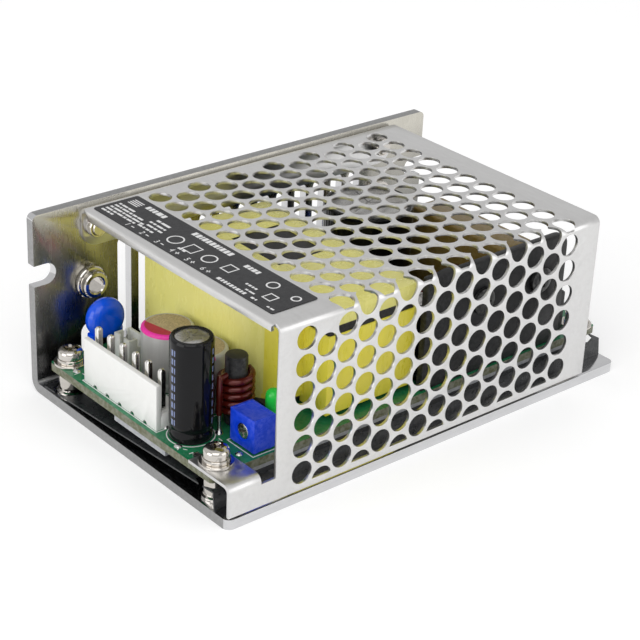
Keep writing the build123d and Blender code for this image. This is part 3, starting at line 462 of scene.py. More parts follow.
# key, name, colour, roughness, metallic, grain in mm, swing of colour, swing of roughness, relief in mm
for key, name, colour, roughness, metallic, grain, swing, rough_swing, depth, more in (
    ("chassis_metal", "chassis sheet", (0.62, 0.62, 0.63),
     0.15, 1.0, 3.0, 0.03, 0.04, 0.001, {"stretch": (0.25, 1, 1)}),
    # cut edges are rougher, and their colour is painted darker to stand in for the dark reflection they show
    ("edge_metal_painted_dark", "cut edge painted dark", (0.32, 0.32, 0.32), 0.4, 1.0, 0.6, 0.12, 0.08, 0.01, {}),
    ("cover_metal", "cover sheet", (0.66, 0.655, 0.65),
     0.33, 1.0, 2.0, 0.03, 0.05, 0.003, {"stretch": (1, 0.3, 1)}),
    ("label_foil", "label foil", (0.018, 0.018, 0.02),
     0.45, 0.0, 0.8, 0.12, 0.05, 0.002, {"wear": 0.05, "sheen": 0.3}),
    ("white_print", "white print", (0.7, 0.7, 0.7), 0.5, 0.0, 0.4, 0.08, 0.05, 0.001, {}),
    ("nickel_steel", "nickel plate", (0.58, 0.55, 0.51), 0.09, 1.0, 0.7, 0.06, 0.04, 0.002, {}),
    ("tinned_metal", "tin plate", (0.7, 0.69, 0.66), 0.22, 1.0, 0.6, 0.06, 0.06, 0.002, {}),
    ("board_green", "solder mask", (0.008, 0.165, 0.065), 0.2, 0.0, 1.2, 0.25, 0.05, 0.01, {"wear": 0.1}),
    ("laminate", "cut laminate", (0.1, 0.105, 0.05), 0.6, 0.0, 0.3, 0.25, 0.05, 0.02, {}),
    ("film_black", "black film", (0.016, 0.017, 0.019), 0.3, 0.0, 4.0, 0.1, 0.06, 0.008, {"wear": 0.05}),
    ("pad_grey", "heat pad", (0.34, 0.35, 0.37), 0.75, 0.0, 0.5, 0.08, 0.05, 0.03, {}),
    ("connector_white", "connector nylon", (0.79, 0.79, 0.77), 0.42, 0.0, 2.0, 0.02, 0.05, 0.005, {}),
    # the fan header's white nylon, painted grey as shade
    ("shroud_painted_shade", "shroud nylon painted shade", (0.52, 0.53, 0.49), 0.45, 0.0, 1.0, 0.04, 0.05, 0.005, {}),
    ("disc_blue", "blue dip", (0.001, 0.08, 0.72), 0.08, 0.0, 1.5, 0.1, 0.04, 0.02, {"wear": 0.0}),
    ("disc_green", "green dip", (0.02, 0.07, 0.03), 0.25, 0.0, 1.5, 0.2, 0.05, 0.02, {"wear": 0.0}),
    ("can_side", "pale can side", (0.5, 0.5, 0.49),
     0.38, 0.3, 0.8, 0.05, 0.06, 0.002, {"stretch": (1, 1, 0.1)}),
    ("can_metal", "drawn can", (0.5, 0.49, 0.48), 0.3, 1.0, 0.8, 0.05, 0.06, 0.002, {"stretch": (1, 1, 0.1)}),
    ("can_print", "can top print", (0.42, 0.33, 0.19), 0.5, 0.0, 0.35, 0.35, 0.05, 0.005, {"wear": 0.0}),
    ("red_print", "red can print", (0.42, 0.015, 0.045), 0.45, 0.0, 0.5, 0.15, 0.05, 0.005, {"wear": 0.0}),
    ("pink_print", "pink can rim", (0.75, 0.02, 0.32), 0.35, 0.0, 0.5, 0.1, 0.05, 0.003, {"wear": 0.0}),
    ("sleeve_black", "black sleeve", (0.004, 0.004, 0.005),
     0.1, 0.0, 2.0, 0.2, 0.04, 0.003, {"wear": 0.05, "sheen": 0.22}),
    ("stripe_blue", "pale blue stripe", (0.16, 0.2, 0.36), 0.25, 0.0, 0.5, 0.2, 0.05, 0.005, {"wear": 0.0}),
    ("ferrite_grey", "ferrite", (0.01, 0.01, 0.011),
     0.42, 0.0, 0.5, 0.25, 0.08, 0.02, {"wear": 0.1, "sheen": 0.3}),
    ("copper_red", "enamelled copper", (0.085, 0.008, 0.005),
     0.1, 0.35, 0.8, 0.2, 0.05, 0.002, {"wear": 0.0}),
    ("trimmer_blue", "trimmer plastic", (0.003, 0.048, 0.64),
     0.36, 0.0, 0.8, 0.12, 0.06, 0.01, {"wear": 0.1, "sheen": 0.25}),
    # nickel screws and nuts of the heat sink, painted near black as shade
    ("nickel_painted_shade", "nickel painted dark as shade", (0.05, 0.05, 0.05), 0.35, 1.0, 0.5, 0.15, 0.06, 0.003, {}),
    ("lamp_green", "lamp epoxy", (0.02, 0.6, 0.06), 0.15, 0.0, 1.0, 0.1, 0.05, 0.003, {"wear": 0.1}),
    ("tape_yellow", "yellow tape", (0.86, 0.81, 0.24),
     0.26, 0.0, 5.0, 0.03, 0.06, 0.02, {"wear": 0.05, "stretch": (1, 1, 0.3)}),
    ("tape_deep", "yellow outer wrap", (0.84, 0.74, 0.07),
     0.3, 0.0, 3.0, 0.08, 0.06, 0.02, {"wear": 0.05, "stretch": (1, 1, 0.3)}),
    ("bobbin_black", "bobbin plastic", (0.014, 0.014, 0.014),
     0.45, 0.0, 1.0, 0.15, 0.05, 0.01, {"wear": 0.1}),
    ("sink_black", "black anodised plate", (0.011, 0.011, 0.012),
     0.4, 0.0, 1.0, 0.15, 0.06, 0.004, {"wear": 0.1, "sheen": 0.25}),
    ("epoxy_black", "moulding compound", (0.013, 0.013, 0.013),
     0.5, 0.0, 0.4, 0.2, 0.05, 0.01, {"wear": 0.1, "sheen": 0.35}),
    # the yellow box is painted dark brown as shade
    ("box_yellow", "capacitor box painted dark as shade", (0.2, 0.13, 0.02), 0.35, 0.0, 1.0, 0.05, 0.05, 0.005, {"wear": 0.1}),
    ("solder", "solder", (0.62, 0.62, 0.61), 0.2, 1.0, 0.5, 0.08, 0.08, 0.01, {}),
):
    LOOKS[key] = mottled(name, colour, roughness, metallic, grain, swing, rough_swing, depth, **more)


def wall_with_painted_shade():
    """Drawn sheet on the inside of the wall, duller and darker towards the base with painted shade, warmer
    higher up with a painted reflection of the yellow tape.
    """
    material, shader = surface("inside of the wall with painted shade and reflection", (0.4, 0.4, 0.4), 0.28, 1.0)
    tree = material.node_tree
    height = add_node(tree, "ShaderNodeSeparateXYZ", {"Vector": coordinates(tree)}, "Z")
    # painted shade low on the wall fades up into a warm painted reflection of the yellow tape
    painted_shade_fade = spread(tree, height, 0, 1, 10 * MM, 35 * MM)
    drawn = coordinates(tree, (1, 1, 0.2))
    grain = spread(tree, noise(tree, drawn, 2.0), 0, 1)
    low = blend_colours(tree, grain, (0.09, 0.095, 0.10), (0.12, 0.12, 0.125))
    high = blend_colours(tree, grain, (0.54, 0.52, 0.46), (0.58, 0.56, 0.50))
    tree.links.new(blend_colours(tree, painted_shade_fade, low, high), shader.inputs["Base Color"])
    tree.links.new(spread(tree, noise(tree, drawn, 0.7), 0.25, 0.29), shader.inputs["Roughness"])
    relief(tree, shader, noise(tree, drawn, 0.5), 0.001)
    return material


LOOKS["wall_metal"] = wall_with_painted_shade()
for part in frame["record"]["subparts"]:
    node = frame["nodes"][part["node"]]
    for holder in node.material_slots:
        holder.material = LOOKS[part["material_slot"]]


# Cover: one sheet folded over the right side, the top and down the inside of the wall


def hole_grid(name, face, first, columns, rows, first_row):
    """Round punches in columns two steps apart, through the side or the top."""
    x = FIRST_COLUMN + first * COLUMN_STEP
    if face == "side":
        punch = rod(name, x, RIGHT, first_row, HOLE_RADIUS, 4, HOLE_SIDES, ALONG_Y)
        step = (0, 0, PITCH)
    else:
        punch = rod(name, x, first_row, COVER_TOP, HOLE_RADIUS, 2.4, HOLE_SIDES)
        step = (0, PITCH, 0)
    repeat(punch, rows, *step)
    repeat(punch, columns, 2 * COLUMN_STEP, 0, 0)
    return punch


def build_cover():
    fold_radius, fold_steps = 1.5, 8
    lip_gap, lip_drop = 2.6, 2.0
    foot_front, foot_rear, foot_reach = FRONT + 0.2, FRONT + 7.2, 11.6
    foot_top, strip_top = BOARD_TOP + COVER_SHEET, 6.9
    middle_x, long = (COVER_FRONT + COVER_REAR) / 2, COVER_REAR - COVER_FRONT
    sheet = block("cover", middle_x, RIGHT, COVER_BOTTOM, long, 0.001, COVER_TOP - COVER_BOTTOM)
    # keep one face of the block as the start of the strip
    pick(sheet, "FACE", lambda corners: not short_of(Y, RIGHT)(corners))
    bpy.ops.mesh.delete(type="FACE")
    done()
    pick(sheet, "EDGE", every(Z, COVER_TOP))
    push(0, WALL_INNER - RIGHT, 0)
    push(0, 0, -FLANGE)
    done()
    # rounded lower corners of the flange
    rounded(sheet, every(Z, COVER_TOP - FLANGE), 3.5, 8, corners=True)
    # lip along the front of the top, with a relief at both ends
    for y in (RIGHT + lip_gap, WALL_INNER - lip_gap):
        slice_at(sheet, Y, y)
    lip_edge = both(
        every(X, COVER_FRONT),
        every(Z, COVER_TOP),
        beyond(Y, RIGHT + lip_gap - NEAR),
        short_of(Y, WALL_INNER - lip_gap + NEAR),
    )
    pick(sheet, "EDGE", lip_edge)
    push(0, 0, -lip_drop)
    done()
    # foot at the front right, folded in over the corner of the board
    slice_at(sheet, Z, strip_top)
    pick(sheet, "EDGE", both(every(X, COVER_FRONT), every(Y, RIGHT), short_of(Z, strip_top + NEAR)))
    push(foot_rear - COVER_FRONT, 0, 0)
    push(foot_front - foot_rear, 0, 0)
    done()
    over_foot = both(beyond(X, foot_front - NEAR), short_of(X, foot_rear + NEAR))
    pick(sheet, "EDGE", both(every(Z, strip_top), over_foot))
    push(0, 0, foot_top - strip_top)
    push(0, foot_reach, 0)
    done()
    folds = (
        both(every(Y, RIGHT), every(Z, COVER_TOP)),
        both(every(Y, WALL_INNER), every(Z, COVER_TOP)),
        both(every(Y, RIGHT), every(Z, foot_top)),
    )
    rounded(sheet, lambda corners: any(fold(corners) for fold in folds), fold_radius, fold_steps)
    rounded(sheet, lip_edge, 1.1, 6)
    thicken(sheet, COVER_SHEET, COVER_TOP - COVER_BOTTOM)
    # perforation: the top's first row is where the side's rows arrive, measured round the fold
    full_first = RIGHT + LOWEST_HOLE + 6 * PITCH - COVER_TOP + (2 - math.pi / 2) * fold_radius
    punches = [
        hole_grid("side holes", "side", 0, 8, 6, LOWEST_HOLE),
        hole_grid("side holes between", "side", 1, 7, 5, LOWEST_HOLE + PITCH / 2),
        hole_grid("top holes", "top", 2, 7, 11, full_first),
        hole_grid("top holes between", "top", 3, 6, 10, full_first + PITCH / 2),
    ]
    # half holes above the lower edge
    half_x, half_z = FIRST_COLUMN + COLUMN_STEP, LOWEST_HOLE - PITCH / 2
    half = rod("half holes", half_x, RIGHT, half_z, HOLE_RADIUS, 4, HOLE_SIDES, ALONG_Y)
    slice_at(half, Z, COVER_BOTTOM + 1.2, clear_inner=True, use_fill=True)
    repeat(half, 7, 2 * COLUMN_STEP, 0, 0)
    # holes that run over the fold
    fold_x = FIRST_COLUMN + 3 * COLUMN_STEP
    over_fold = rod(
        "fold holes", fold_x, RIGHT + 0.8, COVER_TOP - 1.1, HOLE_RADIUS, 5, HOLE_SIDES, (45, 0, 0)
    )
    repeat(over_fold, 6, 2 * COLUMN_STEP, 0, 0)
    screws = rod(
        "flange holes", -FLANGE_SCREW_X, WALL_INNER, FLANGE_SCREW_Z, 2.0, 4, HOLE_SIDES, ALONG_Y
    )
    repeat(screws, 2, 2 * FLANGE_SCREW_X, 0, 0)
    clamp = rod("foot hole", -HOLE_X, -HOLE_Y, BOARD_TOP, BOARD_HOLE_RADIUS, 4, HOLE_SIDES)
    for punch in punches + [half, over_fold, screws, clamp]:
        cut(sheet, punch)
    soften(sheet, 0.1, 2, 40)
    smooth(sheet, 40)
    finish(sheet, "cover", "cover_metal")


# Chassis: base and wall folded from one sheet


def slot_punch(name, x, bottom, top, wide):
    """A tall round-ended punch through the wall."""
    punch = block(name, x, LEFT, bottom, wide, WALL_PUNCH, top - bottom)
    rounded(punch, along(Y), wide / 2 - 0.01, 10)
    return punch


def build_chassis():
    slot_pitch, slot_count, middle_slot_x = 4.9, 13, 0.5
    notch_z, notch_long, notch_high = 24.6, 9.6, 4.3
    sheet = block("chassis", 0, 0, 0, LENGTH, WIDTH, 0.001)
    pick(sheet, "FACE", lambda corners: not short_of(Z, 0.0005)(corners))
    bpy.ops.mesh.delete(type="FACE")
    done()
    pick(sheet, "EDGE", every(Y, LEFT))
    push(0, 0, HEIGHT)
    done()
    rounded(sheet, every(Z, HEIGHT), 1.2, 8, corners=True)
    rounded(sheet, every(Y, RIGHT), 1.5, 8, corners=True)
    rounded(sheet, both(every(Y, LEFT), every(Z, 0)), 2.5, 8)
    thicken(sheet, SHEET, HEIGHT)
    slots = slot_punch("slots", middle_slot_x - slot_count // 2 * slot_pitch, 5.5, 28.0, 3.15)
    repeat(slots, slot_count, slot_pitch, 0, 0)
    vents = slot_punch("vents", -INSERT_X, 4.5, 11.8, 4.4)
    repeat(vents, 2, 2 * INSERT_X, 0, 0)
    notches = block("notches", FRONT, LEFT, notch_z - notch_high / 2, notch_long, WALL_PUNCH, notch_high)
    rounded(notches, along(Y), notch_high / 2 - 0.01, 10)
    repeat(notches, 2, LENGTH, 0, 0)
    inserts = rod("insert holes", -INSERT_X, LEFT, INSERT_Z, 2.7, WALL_PUNCH, 32, ALONG_Y)
    repeat(inserts, 2, 2 * INSERT_X, 0, 0)
    standoff_holes = rod("standoff holes", -HOLE_X, -HOLE_Y, 1, 2.1, 8, 24)
    repeat(standoff_holes, 2, 2 * HOLE_X, 0, 0)
    repeat(standoff_holes, 2, 0, 2 * HOLE_Y, 0)
    sink_rings = ((3.6, -0.5), (1.6, 1.5), (1.6, 4.0))
    screw_place = (-FLANGE_SCREW_X, LEFT, FLANGE_SCREW_Z)
    countersinks = turned("countersinks", sink_rings, 32, screw_place, ALONG_Y)
    repeat(countersinks, 2, 2 * FLANGE_SCREW_X, 0, 0)
    for punch in (slots, vents, notches, inserts, standoff_holes, countersinks):
        cut(sheet, punch)
    soften(sheet, 0.15, 2, 40)
    smooth(sheet, 40)
    finish(sheet, "chassis", "chassis_metal")
    # the inside of the wall gets its painted shade and painted reflection
    tint(sheet, "wall_metal", every(Y, WALL_INNER))

    def on_cut_edge(corners):
        at_end = all(abs(abs(corner[X]) - LENGTH / 2) < 0.05 for corner in corners)
        return at_end or every(Z, HEIGHT, 0.05)(corners)

    # painted dark reflection on the cut edges, with the rougher finish of cut metal
    tint(sheet, "edge_metal_painted_dark", on_cut_edge)


build_cover()
build_chassis()


# Screws, washers, inserts and standoffs


def cross_recess(screw, top, direction, long, wide):
    """Sink a tapered cross into a screw head along Z; direction is -1 for a recess from above."""
    deep = 1.6
    for size_x, size_y in ((long, wide), (wide, long)):
        low = top - 1.1 if direction < 0 else top - 0.5
        arm = block("recess", 0, 0, low, size_x, size_y, deep)
        taper(arm, low if direction < 0 else low + deep, 0, 0, 0.55, 0.55)
        cut(screw, arm)


def build_board_fasteners():
    # x, y, height of what the stack clamps, and the turn of the screw's cross
    stacks = (
        (-HOLE_X, -HOLE_Y, BOARD_TOP + COVER_SHEET, 25),
        (-HOLE_X, HOLE_Y, BOARD_TOP, 60),
        (HOLE_X, -HOLE_Y, BOARD_TOP, 10),
        (HOLE_X, HOLE_Y, BOARD_TOP, 40),
    )
    washer_rings = ((1.7, 0), (3.1, 0), (3.2, 0.1), (3.2, 0.42), (3.12, 0.5), (1.7, 0.5), (1.7, 0))
    washer = turned("washer", washer_rings, 48, through=True)
    finish(set_out("flat_washers", washer, stacks), "flat_washers", "nickel_steel")

    spring_rings = (
        (1.7, 0.5), (2.5, 0.5), (2.58, 0.58), (2.58, 1.22), (2.5, 1.3), (1.7, 1.3), (1.7, 0.5),
    )
    spring = turned("spring washer", spring_rings, 48, through=True)
    gap_low, gap_high = 0.3, 1.7
    gap = block("gap", 0, -2.3, gap_low, 0.5, 2.0, gap_high - gap_low)
    pick(gap, "FACE", every(Z, gap_high))
    shift(0.7, 0, 0)
    done()
    cut(spring, gap)
    smooth(spring)
    finish(set_out("spring_washers", spring, stacks), "spring_washers", "nickel_steel")

    head_top = 3.3
    screw_rings = (
        (1.2, -4.7), (1.5, -4.4), (1.5, 1.3), (2.28, 1.3), (2.4, 1.42), (2.4, 2.2),
        (2.34, 2.6), (2.14, 2.92), (1.78, 3.14), (1.3, 3.25), (0.7, head_top),
    )
    screw = turned("pan head screw", screw_rings, 48)
    cross_recess(screw, head_top, -1, 2.7, 0.7)
    smooth(screw)
    finish(set_out("board_screws", screw, stacks), "board_screws", "nickel_steel")

    # a shank in the base, a foot on it and a barrel up to the board
    standoff_rings = (
        (1.5, 2.5), (1.5, 0.0), (2.0, 0.0), (2.1, 0.1), (2.1, 2.0), (2.7, 2.0),
        (2.7, 2.5), (2.3, 2.7), (2.3, 6.35), (2.15, 6.5), (1.6, BOARD_BOTTOM),
    )
    standoff = turned("standoff", standoff_rings, 40)
    places = [(x, y, 0) for x in (-HOLE_X, HOLE_X) for y in (-HOLE_Y, HOLE_Y)]
    finish(set_out("standoffs", standoff, places), "standoffs", "nickel_steel")


def build_wall_fasteners():
    # threaded inserts: a shank in the wall and a barrel inside it, with thread rings in the bore
    bore, thread_depth, thread_pitch = 1.65, 0.11, 0.35
    thread = []
    for step in range(1, 10):
        radius = bore if step % 2 else bore + thread_depth
        thread.append((radius, 0.5 + thread_pitch * step))
    insert_rings = [
        (bore, 0.4), (2.7, 0.4), (2.7, 2.0), (3.2, 2.0), (3.3, 2.1), (3.3, 2.7), (3.1, 2.9),
        (2.75, 2.95), (2.7, 3.1), (2.7, 4.1), (2.5, 4.35), (1.9, 4.4), (bore, 4.2),
    ]
    insert_rings += thread[::-1]
    insert_rings.append((bore, 0.4))
    insert = turned("insert", insert_rings, 40, turn=ALONG_Y, through=True)
    places = [(x, LEFT, INSERT_Z) for x in (-INSERT_X, INSERT_X)]
    finish(set_out("wall_inserts", insert, places), "wall_inserts", "nickel_steel")

    flange_rings = (
        (1.5, 2.0), (1.98, 2.0), (1.98, 4.0), (1.85, 4.2), (1.65, 4.2), (1.5, 4.05), (1.5, 2.0),
    )
    small = turned("flange insert", flange_rings, 36, turn=ALONG_Y, through=True)
    places = [(x, LEFT, FLANGE_SCREW_Z) for x in (-FLANGE_SCREW_X, FLANGE_SCREW_X)]
    finish(set_out("flange_inserts", small, places), "flange_inserts", "nickel_steel")

    head_top = 0.04
    screw_rings = ((2.8, head_top), (3.0, 0.12), (1.5, 1.55), (1.5, 4.2), (1.3, 4.6))
    screw = turned("countersunk screw", screw_rings, 40)
    cross_recess(screw, head_top, 1, 2.6, 0.65)
    settled = smooth(move_to(screw, "countersunk screw", 0, 0, 0, ALONG_Y))
    finish(set_out("flange_screws", settled, places), "flange_screws", "nickel_steel")


build_board_fasteners()
build_wall_fasteners()


# Circuit board with its pads, rings and small parts


def flat_ring(name, x, y, inner, outer, z=BOARD_TOP, high=0.03, sides=40):
    """A thin flat ring."""
    rings = ((inner, 0), (outer, 0), (outer, high), (inner, high), (inner, 0))
    return turned(name, rings, sides, (x, y, z), through=True)


def outline(name, x, y, z, size_x, size_y, line, high):
    """A thin printed frame."""
    frame_line = block(name, x, y, z, size_x, size_y, high)
    cut(frame_line, block("inside", x, y, z - 1, size_x - 2 * line, size_y - 2 * line, 3))
    return frame_line


def build_board():
    board = block("circuit_board", 0, 0, BOARD_BOTTOM, 97.2, 50.8, BOARD_TOP - BOARD_BOTTOM)
    rounded(board, along(Z), 0.8, 4)
    holes = rod("board holes", -HOLE_X, -HOLE_Y, 7.3, BOARD_HOLE_RADIUS, 6, 32)
    repeat(holes, 2, 2 * HOLE_X, 0, 0)
    repeat(holes, 2, 0, 2 * HOLE_Y, 0)
    cut(board, holes)
    smooth(board)
    finish(board, "circuit_board", "board_green")

    def on_board_edge(corners):
        heights = [corner[Z] for corner in corners]
        return min(heights) < BOARD_TOP - 1 and max(heights) > BOARD_TOP - NEAR

    tint(board, "laminate", on_board_edge)

    # printed rings under the round parts: x, y, inner and outer radius, sides
    ink = 0.03
    marks = []
    for x, y, inner, outer, sides in (
        (*OUTPUT_CAN, 4.25, 4.45, 40),
        (*BULK_CAN, 9.2, 9.45, 64),
        (*POLYMER_CANS[0], 5.15, 5.35, 40),
        (*POLYMER_CANS[1], 5.15, 5.35, 40),
    ):
        marks.append(flat_ring("ring", x, y, inner, outer, sides=sides))
    # printed outlines round the trimmer, the headers and the box capacitor
    for x, y, size_x, size_y in (
        (-36.15, -21.0, 5.8, 7.6),
        (-36.4, 16.4, 4.5, 5.7),
        (-44.1, 3.9, 7.2, 23.8),
        (44.1, 3.6, 7.2, 12.0),
        (32.4, -4.0, 9.0, 26.6),
    ):
        marks.append(outline("outline", x, y, BOARD_TOP, size_x, size_y, 0.2, ink))
    # short strokes that stand for the printed references: x, y, length and turn
    for x, y, long, turn in (
        (-47.0, 18.4, 1.2, 0), (-46.2, 17.4, 0.9, 90), (-47.6, -14.6, 1.1, 30), (-46.9, -15.6, 0.8, 120),
        (-39.9, -16.6, 1.0, 90), (-38.4, -8.6, 1.2, 0), (-46.8, -17.2, 0.9, 0), (-40.6, 19.8, 1.1, 0),
        (-31.0, 17.4, 1.3, 90), (-31.0, 21.0, 1.0, 0), (44.0, -18.0, 1.2, 90), (45.0, 14.0, 1.2, 0),
    ):
        stroke = block("stroke", 0, 0, 0, long, 0.18, ink)
        marks.append(move_to(stroke, "stroke", x, y, BOARD_TOP, (0, 0, turn)))
    finish(join("board_print", *marks), look="white_print")

    # solder: a flat land with a round hill, at the pins of the output header and round about
    hill = turned("hill", ((0.75, 0), (0.75, 0.05), (0.62, 0.16), (0.45, 0.32), (0.2, 0.42)), 16)
    joints = [(-45.1, 3.9 + (index - 2.5) * PIN_PITCH - 1.3) for index in range(6)]
    joints += [
        (-38.7, -14.6), (-40.2, -22.4), (-39.9, 11.2), (-30.6, -16.4), (-46.6, 19.2), (-42.6, 17.2),
        (-47.3, -14.0), (44.8, -1.5), (44.8, 11.0), (37.6, 19.6), (44.4, -14.8), (28.0, 22.6),
    ]
    places = [(x, y, BOARD_TOP) for x, y in joints]
    finish(set_out("solder_joints", hill, places), look="solder")

    # small chip parts with tinned ends: x, y and turn
    chip = block("chip", 0, 0, 0, 1.9, 1.15, 0.5)
    soften(chip, 0.06, 2)
    places = []
    for x, y, turn in (
        (-40.6, 12.9, 0), (-40.6, 14.7, 0), (-46.6, -19.0, 90), (-30.6, 13.8, 90), (-30.4, 17.8, 90),
        (38.2, 10.6, 90), (38.2, 6.8, 90), (44.6, 17.4, 0), (44.6, -11.6, 0),
    ):
        places.append((x, y, BOARD_TOP, turn))
    finish(set_out("chip_parts", chip, places), look="epoxy_black")
    end_x = 0.83
    ends = block("end", end_x, 0, -0.01, 0.32, 1.2, 0.54)
    soften(ends, 0.05, 2)
    repeat(ends, 2, -2 * end_x, 0, 0)
    finish(set_out("chip_ends", ends, places), look="solder")


build_board()


# Label with its generic print: plain numbers, signs and simple shapes


def build_label():
    middle_x, wide, long, thick = -32.15, 10.2, 53.6, 0.12
    print_z, ink = COVER_TOP + 0.1, 0.04
    foil = block("label", middle_x, 0.2, COVER_TOP, wide, long, thick)
    rounded(foil, along(Z), 0.5, 4)
    soften(foil, 0.03, 1)
    finish(foil, "label", "label_foil")

    marks = []

    def bar(y, x, long, wide):
        """A printed bar that runs right from y and stands on x."""
        marks.append(block("bar", x + wide / 2, y - long / 2, print_z, wide, long, ink))

    def writing(words, y, x, size):
        fresh()
        bpy.ops.object.text_add(location=(0, 0, 0))
        text = bpy.context.object
        text.data.body = words
        text.data.size = size * MM
        text.data.extrude = 0.02 * MM
        bpy.ops.object.convert(target="MESH")
        text = bpy.context.object
        text.rotation_euler = (0, 0, math.radians(-90))
        text.location = at(x, y, COVER_TOP + thick)
        settle(text)
        marks.append(text)

    # row along the lip: the sign and number of each of the six pins
    first_y, step_y, stroke_wide, stroke_long = 17.6, 4.6, 0.24, 0.9
    for index in range(6):
        y = first_y - index * step_y
        writing(str(index + 1), y, -36.75, 1.75)
        bar(y - 1.5, -36.25, stroke_long, stroke_wide)
        if index > 2:
            bar(y - 1.83, -36.58, stroke_wide, stroke_long)
    # rows of short bars where the print sits: where a row starts, its height and its lengths
    for y, x, wide, gap, lengths in (
        (25.9, -36.2, 0.5, 0.3, (1.4, 0.8, 0.8)),
        (25.9, -35.2, 0.5, 0.3, (2.0, 1.0, 1.6, 0.9, 1.5, 0.7)),
        (25.9, -34.2, 0.5, 0.3, (0.9, 2.4, 0.7, 1.8, 2.2, 1.0)),
        (25.9, -33.2, 0.5, 0.3, (1.3, 0.6, 1.9, 0.8, 1.2, 1.6)),
        (25.9, -32.2, 0.5, 0.3, (0.7, 1.6, 2.0)),
        (16.0, -34.9, 0.5, 0.3, (1.2, 0.6, 1.0, 0.9)),
        (15.0, -33.6, 0.5, 0.3, (1.8, 0.9, 1.3)),
        (15.8, -32.4, 0.5, 0.3, (0.8, 0.8, 1.8, 0.6)),
        (15.4, -31.1, 0.6, 0.3, (1.1, 2.6)),
        (3.6, -34.9, 0.5, 0.3, (1.0, 0.8)),
        (-10.2, -36.7, 0.8, 0.28, (0.9, 0.5, 0.6, 0.5, 0.7, 0.5, 0.8, 0.5, 0.6)),
        (-19.6, -36.5, 0.5, 0.3, (0.8, 0.4)),
        (-23.9, -36.4, 0.4, 0.3, (0.6, 0.9)),
        (-14.9, -33.9, 0.5, 0.25, (0.5, 0.7, 0.5, 0.6)),
        (-16.6, -35.3, 0.4, 0.25, (0.7, 1.5)),
        (-9.2, -29.9, 1.1, 0.25, (0.9, 0.7, 0.9, 0.7)),
        # broad row next to the holes
        (21.4, -29.4, 1.2, 0.28, (0.9, 0.7, 0.8, 1.4, 0.9)),
        (7.0, -29.3, 1.3, 0.28, (0.9, 0.9, 0.4, 0.9, 0.8, 0.9, 0.8, 0.4, 0.9, 0.9, 0.9)),
    ):
        for long in lengths:
            bar(y, x, long, wide)
            y -= long + gap
    # rings, squares and a small grid
    for y, x, radius in ((6.6, -33.0, 1.7), (-3.4, -32.9, 1.6), (-18.2, -30.3, 1.3), (-24.6, -30.4, 1.0)):
        marks.append(flat_ring("hoop", x, y, radius - 0.3, radius, print_z, ink))
    for y, x, wide in ((1.7, -32.9, 3.0), (-8.6, -32.4, 2.6), (-21.6, -33.6, 2.3)):
        marks.append(outline("square", x, y, print_z, wide, wide, 0.25, ink))
    for step in range(4):
        bar(25.6, -30.4 + 0.55 * step, 3.0, 0.26)
    finish(join("label_print", *marks), look="white_print")


build_label()


# Headers and their pins


def build_wire_header(name, facing, y, pins, long):
    """A friction-lock header: low base, tall wall at the outside with notches and a latch ramp."""
    face_x = -facing * HEADER_FACE
    wall_thick, wall_high = 1.0, 9.0
    ramp_low, ramp_high, ramp_out, ramp_margin = BOARD_TOP + 6.6, BOARD_TOP + 8.0, 0.45, 2.2
    base_low, base_high, base_x = 2.2, 3.0, face_x + facing * 3.75
    first_pin_y = y - (pins - 1) / 2 * PIN_PITCH
    wall_x, inner = face_x + facing * wall_thick / 2, face_x + facing * wall_thick
    wall = block(name, wall_x, y, BOARD_TOP, wall_thick, long, wall_high)
    # latch ramp on the inside near the top
    for z in (ramp_low, ramp_high):
        slice_at(wall, Z, z)
    for side in (-1, 1):
        slice_at(wall, Y, y + side * (long / 2 - ramp_margin))
    ramp = both(
        every(X, inner),
        beyond(Z, ramp_low - NEAR),
        short_of(Z, ramp_high + NEAR),
        beyond(Y, y - long / 2 + ramp_margin - NEAR),
        short_of(Y, y + long / 2 - ramp_margin + NEAR),
    )
    pick(wall, "FACE", ramp)
    push(facing * ramp_out, 0, 0)
    done()
    rounded(wall, both(every(X, inner + facing * ramp_out), every(Z, ramp_high)), 0.4, 1)
    # base behind the wall, with a raised collar round each pin place
    base = block("base", base_x, y, BOARD_TOP, 5.5, long, base_high)
    slice_at(base, Z, BOARD_TOP + base_low)
    taper(base, BOARD_TOP + base_high, base_x, y, 0.86, 0.985)
    collar = block("collar", face_x + facing * PIN_INSET, first_pin_y, BOARD_TOP + 2.9, 2.2, 2.2, 0.35)
    repeat(collar, pins, 0, PIN_PITCH, 0)
    # scalloped lower edge
    notch = rod("notch", wall_x, first_pin_y + PIN_PITCH / 2, BOARD_TOP, 0.62, 3, 16, ALONG_X)
    repeat(notch, pins - 1, 0, PIN_PITCH, 0)
    cut(wall, notch)
    keyway = block("key", face_x + facing * 6.5, first_pin_y, BOARD_TOP - 0.5, 0.9, 1.5, 4.0)
    repeat(keyway, pins, 0, PIN_PITCH, 0)
    cut(base, keyway)
    soften(wall, 0.16, 2)
    soften(base, 0.12, 2)
    soften(collar, 0.15, 1)
    header = smooth(join(name, wall, base, collar))
    finish(header, name, "connector_white")


def build_pins(name, facing, y, pins, step):
    """Square tinned pins with rounded tips."""
    side, top = 1.14, 19.4
    pin = block(name, -facing * (HEADER_FACE - PIN_INSET), y, BOARD_TOP, side, side, top - BOARD_TOP)
    pick(pin, "FACE", every(Z, top))
    bpy.ops.mesh.inset(thickness=0.26 * MM)
    done()
    pick(pin, "VERT", lambda corners: corners[0][Z] > top - NEAR and abs(corners[0][Y] - y) > 0.5)
    shift(0, 0, -0.5)
    done()
    soften(pin, 0.16, 3, 30)
    repeat(pin, pins, 0, step, 0)
    finish(smooth(pin), name, "tinned_metal")


